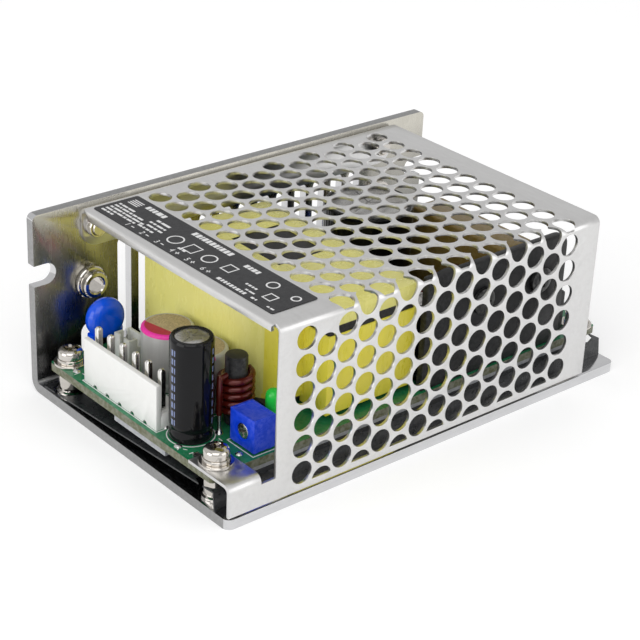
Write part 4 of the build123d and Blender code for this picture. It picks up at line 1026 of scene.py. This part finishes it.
def build_fan_header():
    x, y, shroud_high, shroud_deep = -36.4, 16.4, 6.0, 3.6
    pin_pitch, pin_side, pin_high = 2.0, 0.5, 5.6
    shroud = block("fan_header", x, y, BOARD_TOP, 3.8, 5.0, shroud_high)
    pick(shroud, "FACE", every(Z, BOARD_TOP + shroud_high))
    bpy.ops.mesh.inset(thickness=0.5 * MM)
    push(0, 0, -shroud_deep)
    done()
    cut(shroud, block("key", x - 1.9, y, BOARD_TOP + 3.4, 1.6, 1.3, 4))
    for side in (-2.5, 2.5):
        cut(shroud, block("side slot", x + 0.4, y + side, BOARD_TOP + 4.2, 0.8, 1.6, 3))
    soften(shroud, 0.08, 2)
    # the white shroud is drawn with a greyer copy of its nylon as painted shade
    finish(smooth(shroud), "fan_header", "connector_white", "shroud_painted_shade")
    pin = block("fan_pins", x, y - pin_pitch / 2, BOARD_TOP, pin_side, pin_side, pin_high)
    taper(pin, BOARD_TOP + pin_high, x, y - pin_pitch / 2, 0.5, 0.5)
    soften(pin, 0.04, 1)
    repeat(pin, 2, 0, pin_pitch, 0)
    finish(pin, "fan_pins", "tinned_metal")


build_wire_header("output_header", 1, OUTPUT_HEADER_Y, 6, 23.0)
build_wire_header("input_header", -1, INPUT_HEADER_Y, 3, 11.12)
build_pins("output_pins", 1, OUTPUT_HEADER_Y - 2.5 * PIN_PITCH, 6, PIN_PITCH)
build_pins("input_pins", -1, INPUT_HEADER_Y - PIN_PITCH, 2, 2 * PIN_PITCH)
build_fan_header()


# Disc parts, each a dipped disc on two legs


def dipped_disc(name, x, y, radius, thick, across_x=False):
    """A disc with a full round rim, its coat drawn down over both legs."""
    rim, rim_steps = min(thick / 2, radius * 0.5), 8
    rings = []
    for step in range(rim_steps + 1):
        angle = math.radians(-90 + 180 / rim_steps * step)
        rings.append((radius - rim + rim * math.cos(angle), thick / 2 * math.sin(angle)))
    middle = BOARD_TOP + 3.0 + radius
    body = turned(name, rings, 48, (x, y, middle), ALONG_Y)
    leg_rings = ((0.32, 0), (0.32, 0.9), (0.42, 1.2), (0.62, 1.9), (0.85, 2.7), (1.0, 3.6), (1.0, 4.4))
    legs = []
    for side in (-1, 1):
        legs.append(turned("leg", leg_rings, 16, (x + side * 0.7 * radius, y, BOARD_TOP)))
    disc = join(name, body, *legs)
    if across_x:
        focus(disc)
        bpy.ops.transform.rotate(value=math.radians(90), orient_axis="Z", center_override=at(x, y, 0))
        settle(disc)
    return smooth(disc, 50)


for name, x, y, slot in (
    ("disc_capacitor", -37.5, 23.1, "disc_blue"),
    ("varistor", 41.2, -9.0, "disc_blue"),
    ("thermistor", 41.2, 15.6, "disc_green"),
):
    at_rear = x > 0
    finish(dipped_disc(name, x, y, 3.9 if at_rear else 4.1, 4.0, at_rear), name, slot)
safety_discs = [dipped_disc("safety disc", x, 23.2, 3.2, 3.0) for x in (11.0, 24.0)]
finish(join("safety_capacitors", *safety_discs), "safety_capacitors", "disc_blue")


# Capacitor cans


def middle_of(corners):
    return sum(corners, Vector()) / len(corners)


def build_polymer_cans():
    top, rim_low = 11.93, 11.25
    # the line that splits the printed top into a red and a bare part
    chord_x, chord_y, chord_reach = 0.975, 0.222, 1.66
    can_rings = (
        (4.7, 0.1), (4.92, 0.25), (5.0, 0.6), (5.0, 1.6), (4.8, 1.9), (4.8, 2.1), (5.0, 2.4),
        (5.0, 11.3), (4.94, 11.62), (4.75, 11.86), (4.45, 12.0), (4.3, 12.0), (4.3, top),
    )
    can = turned("polymer can", can_rings, 64)
    pick(can, "FACE", lambda corners: len(corners) > 40 and corners[0][Z] > 11)
    bpy.ops.mesh.bisect(plane_co=at(-1.62, -0.37, top), plane_no=(chord_x, chord_y, 0))
    done()
    cans = set_out("polymer_capacitors", can, [(x, y, BOARD_TOP) for x, y in POLYMER_CANS])
    smooth(cans)
    finish(cans, "polymer_capacitors", "can_metal", "can_side")

    def red_side(corners):
        middle = middle_of(corners)
        can_x, can_y = POLYMER_CANS[0] if middle.y > 1 else POLYMER_CANS[1]
        return (middle.x - can_x) * chord_x + (middle.y - can_y) * chord_y < -chord_reach

    on_top = every(Z, BOARD_TOP + top)
    tint(cans, "can_print", lambda corners: on_top(corners) and not red_side(corners))
    tint(cans, "red_print", both(on_top, red_side))
    on_rim = both(beyond(Z, BOARD_TOP + rim_low), red_side)
    tint(cans, "pink_print", lambda corners: on_rim(corners) and not on_top(corners))


def radial_can(name, x, y, radius, high, sides=64):
    """The can under a sleeve, its bare top scored with the three lines of a vent."""
    rings = ((radius - 0.2, 0.1), (radius - 0.15, high - 0.5), (radius - 0.6, high - 0.22))
    can = turned(name, rings, sides)
    # turn of each line, its length and how far it starts from the middle, as parts of the radius
    for turn, length, out in ((0, 1.3, 0), (55, 0.75, 0.42), (-55, 0.75, 0.42)):
        long = radius * length
        groove = block("score", out * long, 0, 0, long, 0.24, 1)
        cut(can, move_to(groove, "score", 0, 0, high - 0.36, (0, 0, turn + 20)))
    return smooth(move_to(can, name, x, y, BOARD_TOP))


def radial_sleeve(name, x, y, radius, high, sides=64, dashes=()):
    """Shrunk sleeve: curled in under the can, necked over its groove and rolled over its rim."""
    rings = [(radius - 0.9, 0.0), (radius - 0.25, 0.0), (radius - 0.05, 0.12), (radius, 0.4), (radius, 1.5)]
    rings += [(radius - 0.14, 1.85), (radius - 0.18, 2.15), (radius - 0.14, 2.45), (radius, 2.85)]
    rings += [(radius, height) for height in dashes]
    for inset, drop in (
        (0, 0.75), (0.07, 0.35), (0.28, 0.08), (0.6, 0), (0.9, 0.07), (1.0, 0.2), (0.95, 0.32), (0.9, high),
    ):
        rings.append((radius - inset, high - drop))
    return turned(name, rings, sides, (x, y, BOARD_TOP), through=True)


def build_electrolytics():
    x, y = OUTPUT_CAN
    radius, high = 4.0, 20.0
    dash_low, dash_pitch, dash_long, dash_count = 3.3, 1.72, 1.15, 9
    # a row of dashes on the left and one that shows only at the right edge, in degrees
    dash_bands = ((173, 181), (184, 189), (297, 305))
    can = radial_can("output_capacitor_can", x, y, radius, high)
    finish(can, "output_capacitor_can", "can_metal")
    dashes = []
    for row in range(dash_count):
        dashes += [dash_low + dash_pitch * row, dash_low + dash_pitch * row + dash_long]
    sleeve = radial_sleeve("output_capacitor_sleeve", x, y, radius, high, 96, dashes)
    finish(sleeve, "output_capacitor_sleeve", "sleeve_black")

    def in_dash(corners):
        middle = middle_of(corners)
        angle = math.degrees(math.atan2(middle.y - y, middle.x - x)) % 360
        height = (middle.z - BOARD_TOP - dash_low) % dash_pitch
        low = min(corner[Z] for corner in corners) - BOARD_TOP
        on_side = abs(math.hypot(middle.x - x, middle.y - y) - radius) < 0.05
        in_band = any(start < angle < end for start, end in dash_bands)
        return on_side and dash_low - NEAR < low < 18.6 and height < dash_long and in_band

    tint(sleeve, "stripe_blue", in_dash)

    x, y = BULK_CAN
    radius, high = 9.0, 21.5
    bulk = radial_can("bulk_capacitor_can", x, y, radius, high)
    finish(bulk, "bulk_capacitor_can", "can_metal")
    sleeve = radial_sleeve("bulk_capacitor_sleeve", x, y, radius, high, 96)
    finish(sleeve, "bulk_capacitor_sleeve", "sleeve_black")

    x, y, radius, high = 5.5, -19.4, 3.1, 16.0
    small_sleeve = radial_sleeve("small sleeve", x, y, radius, high, 48)
    small_can = radial_can("small can", x, y, radius, high, 48)
    small = join("auxiliary_capacitor", small_sleeve, small_can)
    finish(small, "auxiliary_capacitor", "sleeve_black")

    def bare_top(corners):
        reach = max(math.hypot(corner[X] - x, corner[Y] - y) for corner in corners)
        return reach < radius - 0.12

    tint(small, "can_metal", both(beyond(Z, BOARD_TOP + high - 0.8), bare_top))


build_polymer_cans()
build_electrolytics()


# Rod choke: a ferrite rod in a helix of thick enamelled wire


def wound_helix(name, x, y, z, radius, wire, pitch, turns, steps=28, sides=12):
    """A wire wound upwards round an upright axis."""
    fresh()
    bpy.ops.mesh.primitive_circle_add(
        vertices=sides, radius=wire * MM, location=at(radius, 0, 0), rotation=(math.radians(90), 0, 0)
    )
    coil = named(name)
    modify(
        coil,
        "SCREW",
        angle=math.radians(360),
        screw_offset=pitch * MM,
        iterations=turns,
        steps=steps,
        render_steps=steps,
    )
    edit_all(coil, "EDGE")
    bpy.ops.mesh.fill_holes(sides=sides)
    done()
    coil.location = at(x, y, z)
    settle(coil)
    return outward(coil)


def build_choke():
    x, y, radius, wire, pitch, turns = -34.0, -13.2, 2.85, 0.68, 1.5, 5
    lead_place = (x - 4.6, y - 1.3, BOARD_TOP)
    core_rings = ((1.9, 0.2), (2.1, 0.4), (2.1, 13.7), (1.95, 13.95), (1.7, 14.0))
    core = turned("choke_core", core_rings, 24, (x, y, BOARD_TOP))
    finish(core, "choke_core", "ferrite_grey")
    coil = wound_helix("choke_winding", x, y, BOARD_TOP + 2.75, radius, wire, pitch, turns)
    # both ends of the wire run down to the board, one of them outside the turns
    near_rings = ((0.6, 0.9), (0.66, 1.1), (0.66, 2.4), (0.5, 2.6))
    near = turned("near end", near_rings, 12, (x + radius, y, BOARD_TOP - 0.3))
    outer_rings = ((0.45, 3.4), (0.62, 3.9), (0.62, 10.6), (0.5, 11.2), (0.3, 11.4))
    outer = turned("outer end", outer_rings, 12, (x - 4.4, y - 0.9, BOARD_TOP))
    bridge = rod("bridge", x - 3.6, y - 0.7, BOARD_TOP + 10.7, 0.6, 1.9, 12, (0, 90, 12))
    winding = join("choke_winding", coil, near, outer, bridge)
    smooth(winding, 60)
    finish(winding, "choke_winding", "copper_red")
    lead = turned("choke_lead", ((0.34, 0), (0.34, 3.9)), 12, lead_place, (-5, 3, 0))
    hill = turned("lead solder", ((0.8, 0), (0.75, 0.15), (0.5, 0.5), (0.36, 0.9)), 20, lead_place)
    finish(join("choke_lead", lead, hill), look="solder")


build_choke()


# Trimmer, its turning rotor, and the status lamp


def build_trimmer():
    front, y, rotor_z = -38.6, -21.0, BOARD_TOP + 3.4
    foot_high, body_high, body_deep = 0.35, 6.45, 4.9
    top = BOARD_TOP + foot_high + body_high
    body = block("trimmer_body", front + body_deep / 2, y, BOARD_TOP + foot_high, body_deep, 6.8, body_high)
    # slightly sunk panel on the top and a step round the rotor
    pick(body, "FACE", every(Z, top))
    bpy.ops.mesh.inset(thickness=0.55 * MM)
    push(0, 0, -0.12)
    done()
    soften(body, 0.22, 3)
    cut(body, rod("rotor hole", front + 0.9, y, rotor_z, 1.56, 1.92, 48, ALONG_X))
    cut(body, rod("rotor seat", front, y, rotor_z, 1.9, 0.24, 48, ALONG_X))
    feet = block("foot", front + 0.8, y - 2.6, BOARD_TOP, 0.9, 0.9, 0.4)
    repeat(feet, 2, 3.2, 0, 0)
    repeat(feet, 2, 0, 5.2, 0)
    body = smooth(join("trimmer_body", body, feet))
    finish(body, "trimmer_body", "trimmer_blue")

    # the rotor is drawn up along Z, cut with a cross and then laid down
    slot_low, rotor_back = 1.05, 1.8
    rotor = turned("rotor disc", ((1.5, 0.0), (1.5, 1.5), (1.42, 1.62), (1.3, 1.65)), 48)
    for turn in (20, 110):
        arm = block("slot", 0, 0, slot_low, 2.3, 0.55, 1.2)
        cut(rotor, move_to(arm, "slot", 0, 0, 0, (0, 0, turn)))
    placed = move_to(rotor, "trimmer_rotor", front + rotor_back, y, rotor_z, (0, -90, 0))
    smooth(placed)
    finish(placed, "trimmer_rotor", "tinned_metal", body="rotor")

    def slot_floor_painted_shade(corners):
        depth = middle_of(corners).x - front
        return len(corners) > 4 and abs(depth - 0.76) < 0.05

    # painted shade: the slot floor gets the dark ferrite finish to darken the recess
    tint(placed, "ferrite_grey", slot_floor_painted_shade)


def build_lamp():
    x, y, flat_high = -30.5, -19.6, 1.02
    lamp_rings = (
        (1.8, 0.0), (1.9, 0.08), (1.9, 0.9), (1.82, 1.0), (1.5, 1.0), (1.5, 7.2), (1.45, 7.62),
        (1.3, 8.0), (1.06, 8.32), (0.75, 8.54), (0.4, 8.66), (0.12, 8.7),
    )
    lamp = turned("status_led", lamp_rings, 40, (x, y, BOARD_TOP))
    cut(lamp, block("flat", x - 2.7, y, BOARD_TOP - 0.5, 2.0, 5, flat_high + 0.5))
    finish(smooth(lamp), "status_led", "lamp_green")


build_trimmer()
build_lamp()


# Transformer: core, taped winding with its flat front, bobbin, outer wraps


def build_transformer():
    front, depth, half, leg = -20.5, 21.0, 22.4, 5.8
    middle, core_low, core_high = front + depth / 2, 26.0, 4.0
    base_z = BOARD_TOP + 1.0
    core = block("transformer_core", middle, 0, core_low, depth, 2 * half, core_high)
    for y in (-half + leg, half - leg):
        slice_at(core, Y, y)

    def under_leg(corners):
        return every(Z, core_low)(corners) and min(abs(corner[Y]) for corner in corners) > half - leg - NEAR

    pick(core, "FACE", under_leg)
    push(0, 0, base_z - core_low)
    done()
    soften(core, 0.4, 2)
    finish(smooth(core), "transformer_core", "ferrite_grey")

    # winding: rounded at its corners, its layers of tape stepped near the top and the bottom
    coil_front, coil_rear, coil_wide = -28.7, 5.0, 31.6
    coil_middle, low = (coil_front + coil_rear) / 2, BOARD_TOP + 2.2
    coil = block(
        "transformer_winding", coil_middle, 0, low, coil_rear - coil_front, coil_wide, core_low - low
    )
    rounded(coil, along(Z), 8.3, 10)
    for z in (low + 0.8, low + 1.0, core_low - 1.0, core_low - 0.8):
        slice_at(coil, Z, z)

    def past_step(corners):
        return corners[0][Z] < low + 0.9 or corners[0][Z] > core_low - 0.9

    pick(coil, "VERT", past_step)
    widen(coil_middle, 0, 0, 0.985, 0.985)
    done()
    smooth(coil, 30)
    # flat front face: runs out to the full width of the core on the left, turns back on the right
    face_front, face_rear, face_left, face_right, face_top = -28.9, -20.8, 22.35, -15.2, 28.3
    plate = block(
        "front",
        (face_front + face_rear) / 2,
        (face_left + face_right) / 2,
        low,
        face_rear - face_front,
        face_left - face_right,
        face_top - low,
    )
    at_front = both(along(Z), short_of(X, face_front + 0.9))
    rounded(plate, both(at_front, short_of(Y, 0)), 7.9, 12)
    rounded(plate, both(at_front, beyond(Y, 20)), 0.35, 3)
    rounded(plate, every(Z, face_top), 0.4, 2)
    smooth(plate, 30)
    winding = join("transformer_winding", coil, plate)
    finish(winding, "transformer_winding", "tape_yellow")
    tint(winding, "tape_deep", both(short_of(Y, -12.0), short_of(X, -20)))

    bobbin = block("transformer_bobbin", coil_middle, 0, base_z, 32.7, 29.6, 1.2)
    rails = block("rail", -26.4, 0, BOARD_TOP, 3.5, 29.6, 1.0)
    repeat(rails, 2, 29.2, 0, 0)
    bobbin = join("transformer_bobbin", bobbin, rails)
    soften(bobbin, 0.2, 2)
    finish(smooth(bobbin), "transformer_bobbin", "bobbin_black")

    # tape over the top and down both outer legs, with a window over the middle of the core
    tape_thick = 0.25
    band = block("transformer_tape", middle, 0, 30.0, depth, 2 * (half + tape_thick), 0.22)
    skirts = []
    for side in (-1, 1):
        skirt_y = side * (half + tape_thick / 2)
        skirts.append(block("skirt", middle, skirt_y, 27.0, depth, tape_thick, 3.1))
        skirts.append(block("wrap", middle, side * 18.95, base_z, depth + 2 * tape_thick, 7.4, 16.1))
    cut(band, block("window", front + 10.3, 5.0, 29.6, 11.4, 14.5, 1.5))
    # a strip runs along the front of the core over the flat face of the winding
    strip = block("strip", front - 0.6, 1.2, 27.9, 1.6, 2 * half - 3.0, 0.9)
    tape = join("transformer_tape", band, strip, *skirts)
    soften(tape, 0.1, 2)
    finish(smooth(tape), "transformer_tape", "tape_yellow", "tape_deep")
    tint(tape, "tape_yellow", beyond(Z, 26.5))


build_transformer()


# Heat sink plate with the transistor and the bridge screwed to it


def build_heat_sink():
    outer, thick, low = -24.8, 1.6, BOARD_TOP + 2.5
    inner, middle_y = outer + thick, outer + thick / 2
    front, rear, top = 1.0, 38.0, 31.4
    tab_high, tab_thick, body_thick, bore = 15.6, 1.3, 4.5, 1.5
    hole_z = low + tab_high - 3.1
    transistor_x, lead_pitch = 15.5, 2.54
    bridge_x, bridge_thick, leg_pitch = 31.0, 3.2, 3.302
    plate = block("heat_sink", (front + rear) / 2, middle_y, BOARD_TOP, rear - front, thick, top - BOARD_TOP)
    rounded(plate, both(along(Y), beyond(X, 30), beyond(Z, 30)), 2.6, 6)
    for x in (transistor_x, bridge_x):
        cut(plate, rod("plate hole", x, middle_y, hole_z, bore, 5, 24, ALONG_Y))
    soften(plate, 0.15, 2)
    finish(smooth(plate), "heat_sink", "sink_black")

    body_y = inner + body_thick / 2
    case = block("power_transistor", transistor_x, body_y, low, 10.2, body_thick, 9.4)
    tab = block("tab", transistor_x, inner + tab_thick / 2, low, 10.2, tab_thick, tab_high)
    rounded(tab, both(along(Y), beyond(Z, low + 10)), 0.9, 2)
    cut(tab, rod("tab hole", transistor_x, inner, hole_z, bore, 6, 24, ALONG_Y))
    leads = block("lead", transistor_x - lead_pitch, body_y, BOARD_TOP, 0.8, 0.5, 2.6)
    repeat(leads, 3, lead_pitch, 0, 0)
    soften(case, 0.3, 2)
    soften(tab, 0.08, 1)
    transistor = smooth(join("power_transistor", case, tab, leads))
    finish(transistor, "power_transistor", "epoxy_black")
    on_tab, on_legs = beyond(Z, low + 9.3), short_of(Z, low + 0.11)
    tint(transistor, "tinned_metal", lambda corners: on_tab(corners) or on_legs(corners))

    bridge_y = inner + bridge_thick / 2
    bridge = block("bridge_rectifier", bridge_x, bridge_y, low, 13.0, bridge_thick, tab_high)
    rounded(bridge, both(along(Y), beyond(Z, low + 10), short_of(X, 30)), 2.2, 1)
    cut(bridge, rod("bridge hole", bridge_x, inner, hole_z, bore, 8, 24, ALONG_Y))
    legs = block("leg", bridge_x - 1.5 * leg_pitch, bridge_y, BOARD_TOP, 0.8, 0.6, 2.6)
    repeat(legs, 4, leg_pitch, 0, 0)
    soften(bridge, 0.25, 2)
    rectifier = smooth(join("bridge_rectifier", bridge, legs))
    finish(rectifier, "bridge_rectifier", "epoxy_black")
    tint(rectifier, "tinned_metal", on_legs)

    # screw heads outside, nuts inside
    nut_high, head_top = 2.0, 1.2
    fasteners = []
    for x, held in ((transistor_x, tab_thick), (bridge_x, bridge_thick)):
        screw_end = -thick - held - nut_high
        screw_rings = (
            (1.4, screw_end - 0.2), (1.5, screw_end), (1.5, 0), (2.62, 0), (2.7, 0.1), (2.6, 0.7),
            (2.1, 1.05), (1.2, head_top),
        )
        screw = turned("sink screw", screw_rings, 32)
        cross_recess(screw, head_top, -1, 2.8, 0.6)
        fasteners.append(move_to(screw, "sink screw", x, outer, hole_z, ALONG_Y))
        nut = rod("nut", x, inner + held + nut_high / 2, hole_z, 2.7, nut_high, 6, ALONG_Y)
        soften(nut, 0.2, 2)
        fasteners.append(nut)
    fasteners = smooth(join("sink_fasteners", *fasteners))
    # the nickel fasteners are drawn near black as painted shade
    finish(fasteners, "sink_fasteners", "nickel_steel", "nickel_painted_shade")


build_heat_sink()


# Ring chokes wound turn by turn


def ring_section(inner, outer, half):
    """Rings of radius and height round the section of a ring core with broken edges."""
    edge = 0.3
    lower = ((inner, edge - half), (inner + edge, -half), (outer - edge, -half), (outer, edge - half))
    upper = ((outer, half - edge), (outer - edge, half), (inner + edge, half), (inner, half - edge))
    return lower + upper + lower[:1]


def wire_turn(inner, outer, high, wire):
    """One turn of wire round the section of a ring core, seen from the axis of the ring."""
    middle, reach = (inner + outer) / 2, (outer - inner) / 2
    round_part = min(reach, high / 2) * 0.55
    fresh()
    bpy.ops.mesh.primitive_torus_add(
        major_segments=20,
        minor_segments=6,
        major_radius=round_part * MM,
        minor_radius=wire / 2 * MM,
        location=(0, 0, 0),
        rotation=(math.radians(90), 0, 0),
    )
    loop = named("turn")
    # pull the four quarters of the round loop out to the section's corners
    for axis, distance in ((X, reach - round_part), (Z, high / 2 - round_part)):
        for side in (-1, 1):
            pick(loop, "VERT", lambda corners: corners[0][axis] * side > 0.001)
            move = [0, 0, 0]
            move[axis] = side * distance
            shift(*move)
            done()
    return move_to(loop, "turn", middle, 0, 0)


def wind_ring(name, one_turn, angles, x, y, z, turn=(0, 0, 0)):
    """Turns of wire set round a ring by angle, then laid at the ring's place."""
    coil = set_out("turns", one_turn, [(0, 0, 0, angle) for angle in angles])
    placed = move_to(coil, name, x, y, z, turn)
    smooth(placed, 60)
    finish(placed, name, "copper_red")


def build_boost_choke():
    x, y, radius, bore, wide, wire = 18.5, -14.1, 8.2, 2.4, 8.2, 0.9
    turns, gap_angle = 28, 44
    z = BOARD_TOP + radius
    rings = ring_section(bore + wire, radius - wire, wide / 2 - wire)
    core = turned("boost_choke_core", rings, 48, (x, y, z), ALONG_Y, through=True)
    finish(core, "boost_choke_core", "ferrite_grey")
    step_angle = (360 - gap_angle) / (turns - 1)
    angles = [90 + gap_angle / 2 + step * step_angle for step in range(turns)]
    one_turn = wire_turn(bore + wire / 2, radius - wire / 2, wide - wire, wire)
    wind_ring("boost_choke_winding", one_turn, angles, x, y, z, ALONG_Y)


def build_line_filter():
    x, y, radius, bore, wire, base, high = 16.5, -3.7, 5.7, 1.4, 0.9, 1.2, 6.0
    turns, step_angle = 11, 12.2
    seat = block("seat", x, y, BOARD_TOP, 2 * radius, 2 * radius, base)
    soften(seat, 0.25, 2)
    z = BOARD_TOP + base + high / 2 + wire / 2
    rings = ring_section(bore + wire, radius - wire, high / 2 - wire / 2)
    core = turned("ring", rings, 40, (x, y, z), through=True)
    finish(join("line_filter_core", core, seat), "line_filter_core", "ferrite_grey")
    angles = [start + step * step_angle for start in (24, 204) for step in range(turns)]
    one_turn = wire_turn(bore + wire / 2, radius - wire / 2, high + wire * 0.9, wire)
    wind_ring("line_filter_windings", one_turn, angles, x, y, z)


build_boost_choke()
build_line_filter()


# Boxed parts at the rear


def build_boxes():
    x, y = 32.4, -4.0
    box = block("box_capacitor", x, y, BOARD_TOP, 8.4, 26.0, 19.0)
    soften(box, 0.5, 3)
    cut(box, block("foot", x, y, BOARD_TOP - 0.5, 6.4, 23.0, 1.0))
    # its yellow is painted dark brown as shade
    finish(smooth(box), "box_capacitor", "box_yellow")

    fuse = block("fuse", 39.9, -18.3, BOARD_TOP, 4.2, 8.4, 8.5)
    soften(fuse, 0.5, 3)
    finish(smooth(fuse), "fuse", "epoxy_black")

    x, y, low, high = 33.0, 15.0, BOARD_TOP + 0.8, 3.4
    lead_pitch, lead_reach = 2.54, 3.45
    body = block("optocoupler", x, y, low, 4.6, 6.4, high)
    slice_at(body, Z, low + 1.6)
    for z in (low, low + high):
        taper(body, z, x, y, 0.93, 0.95)
    soften(body, 0.08, 1)
    lead = block("lead", x - lead_pitch / 2, y - lead_reach, BOARD_TOP, 0.5, 0.28, 2.5)
    repeat(lead, 2, lead_pitch, 0, 0)
    repeat(lead, 2, 0, 2 * lead_reach, 0)
    coupler = smooth(join("optocoupler", body, lead))
    finish(coupler, "optocoupler", "epoxy_black")
    tint(coupler, "tinned_metal", lambda corners: max(abs(corner[Y] - y) for corner in corners) > 3.25)


build_boxes()


# Camera, floor and studio light


def path_switch(tree, rays, low, high):
    """A strength that is high for the given kinds of ray and low for all others."""
    seen = add_node(tree, "ShaderNodeLightPath", {}, rays[0])
    for ray in rays[1:]:
        other = add_node(tree, "ShaderNodeLightPath", {}, ray)
        seen = add_node(tree, "ShaderNodeMath", {0: seen, 1: other}, 0, operation="MAXIMUM")
    return add_node(tree, "ShaderNodeMapRange", {"Value": seen, "To Min": low, "To Max": high}, "Result")


def build_camera():
    """The camera that was solved from the photo; it looks at a point 20 mm above the floor."""
    azimuth, elevation, roll = math.radians(-41.283), math.radians(27.085), math.radians(2.668)
    distance, aside, above = 350.841, -2.699, -6.118
    focal_pixels, frame_pixels, film_wide = 1815.28, 640, 36
    level = math.cos(elevation)
    forward = Vector((-math.sin(azimuth) * level, math.cos(azimuth) * level, -math.sin(elevation)))
    level_right = forward.cross(Vector((0, 0, 1))).normalized()
    level_up = level_right.cross(forward)
    right = math.cos(roll) * level_right + math.sin(roll) * level_up
    up = -math.sin(roll) * level_right + math.cos(roll) * level_up
    place = Vector((0, 0, 20)) - forward * distance + right * aside + up * above
    fresh()
    bpy.ops.object.camera_add(location=place * MM)
    camera = bpy.context.object
    camera.name = "photo_camera"
    camera.data.lens = focal_pixels / frame_pixels * film_wide
    camera.data.sensor_width = film_wide
    camera.data.clip_start = 0.01
    camera.data.clip_end = 20
    camera.rotation_euler = Matrix((right, up, -forward)).transposed().to_euler()
    bpy.context.scene.camera = camera


def build_studio():
    fresh()
    bpy.ops.mesh.primitive_plane_add(size=6, location=(0, 0, 0))
    floor = bpy.context.object
    floor.name = "studio_floor"
    paper, shader = surface("studio paper", (0.85, 0.85, 0.85), 0.9)
    tree = paper.node_tree
    shader.inputs["Specular IOR Level"].default_value = 0.1
    shader.inputs["Emission Color"].default_value = (1, 1, 1, 1)
    # the paper is lifted to white where it is seen, so that it keeps only the shadow
    seen_rays = ("Is Camera Ray", "Is Transmission Ray", "Is Glossy Ray")
    tree.links.new(path_switch(tree, seen_rays, 0.0, 0.22), shader.inputs["Emission Strength"])
    floor.data.materials.append(paper)

    # white where the background is seen, and a plainer light on the piece
    world = bpy.data.worlds.new("studio")
    bpy.context.scene.world = world
    world.use_nodes = True
    tree = world.node_tree
    background = tree.nodes["Background"]
    background.inputs["Color"].default_value = (1, 1, 1, 1)
    tree.links.new(path_switch(tree, seen_rays[:2], 0.72, 1.0), background.inputs["Strength"])

    # place and size in metres, power in watts
    for name, place, size, power in (
        ("key_light", (-0.55, -0.55, 0.8), 0.9, 3.6),
        ("front_light", (-1.0, 0.1, 0.28), 0.7, 3.2),
        ("right_light", (0.5, -0.95, 0.4), 0.8, 2.2),
    ):
        fresh()
        bpy.ops.object.light_add(type="AREA", location=place)
        lamp = bpy.context.object
        lamp.name = name
        lamp.data.size = size
        lamp.data.energy = power
        aim = Vector((0, 0, 0.02)) - Vector(place)
        lamp.rotation_euler = aim.to_track_quat("-Z", "Y").to_euler()
    bpy.context.scene.view_settings.view_transform = "Standard"


build_camera()
build_studio()
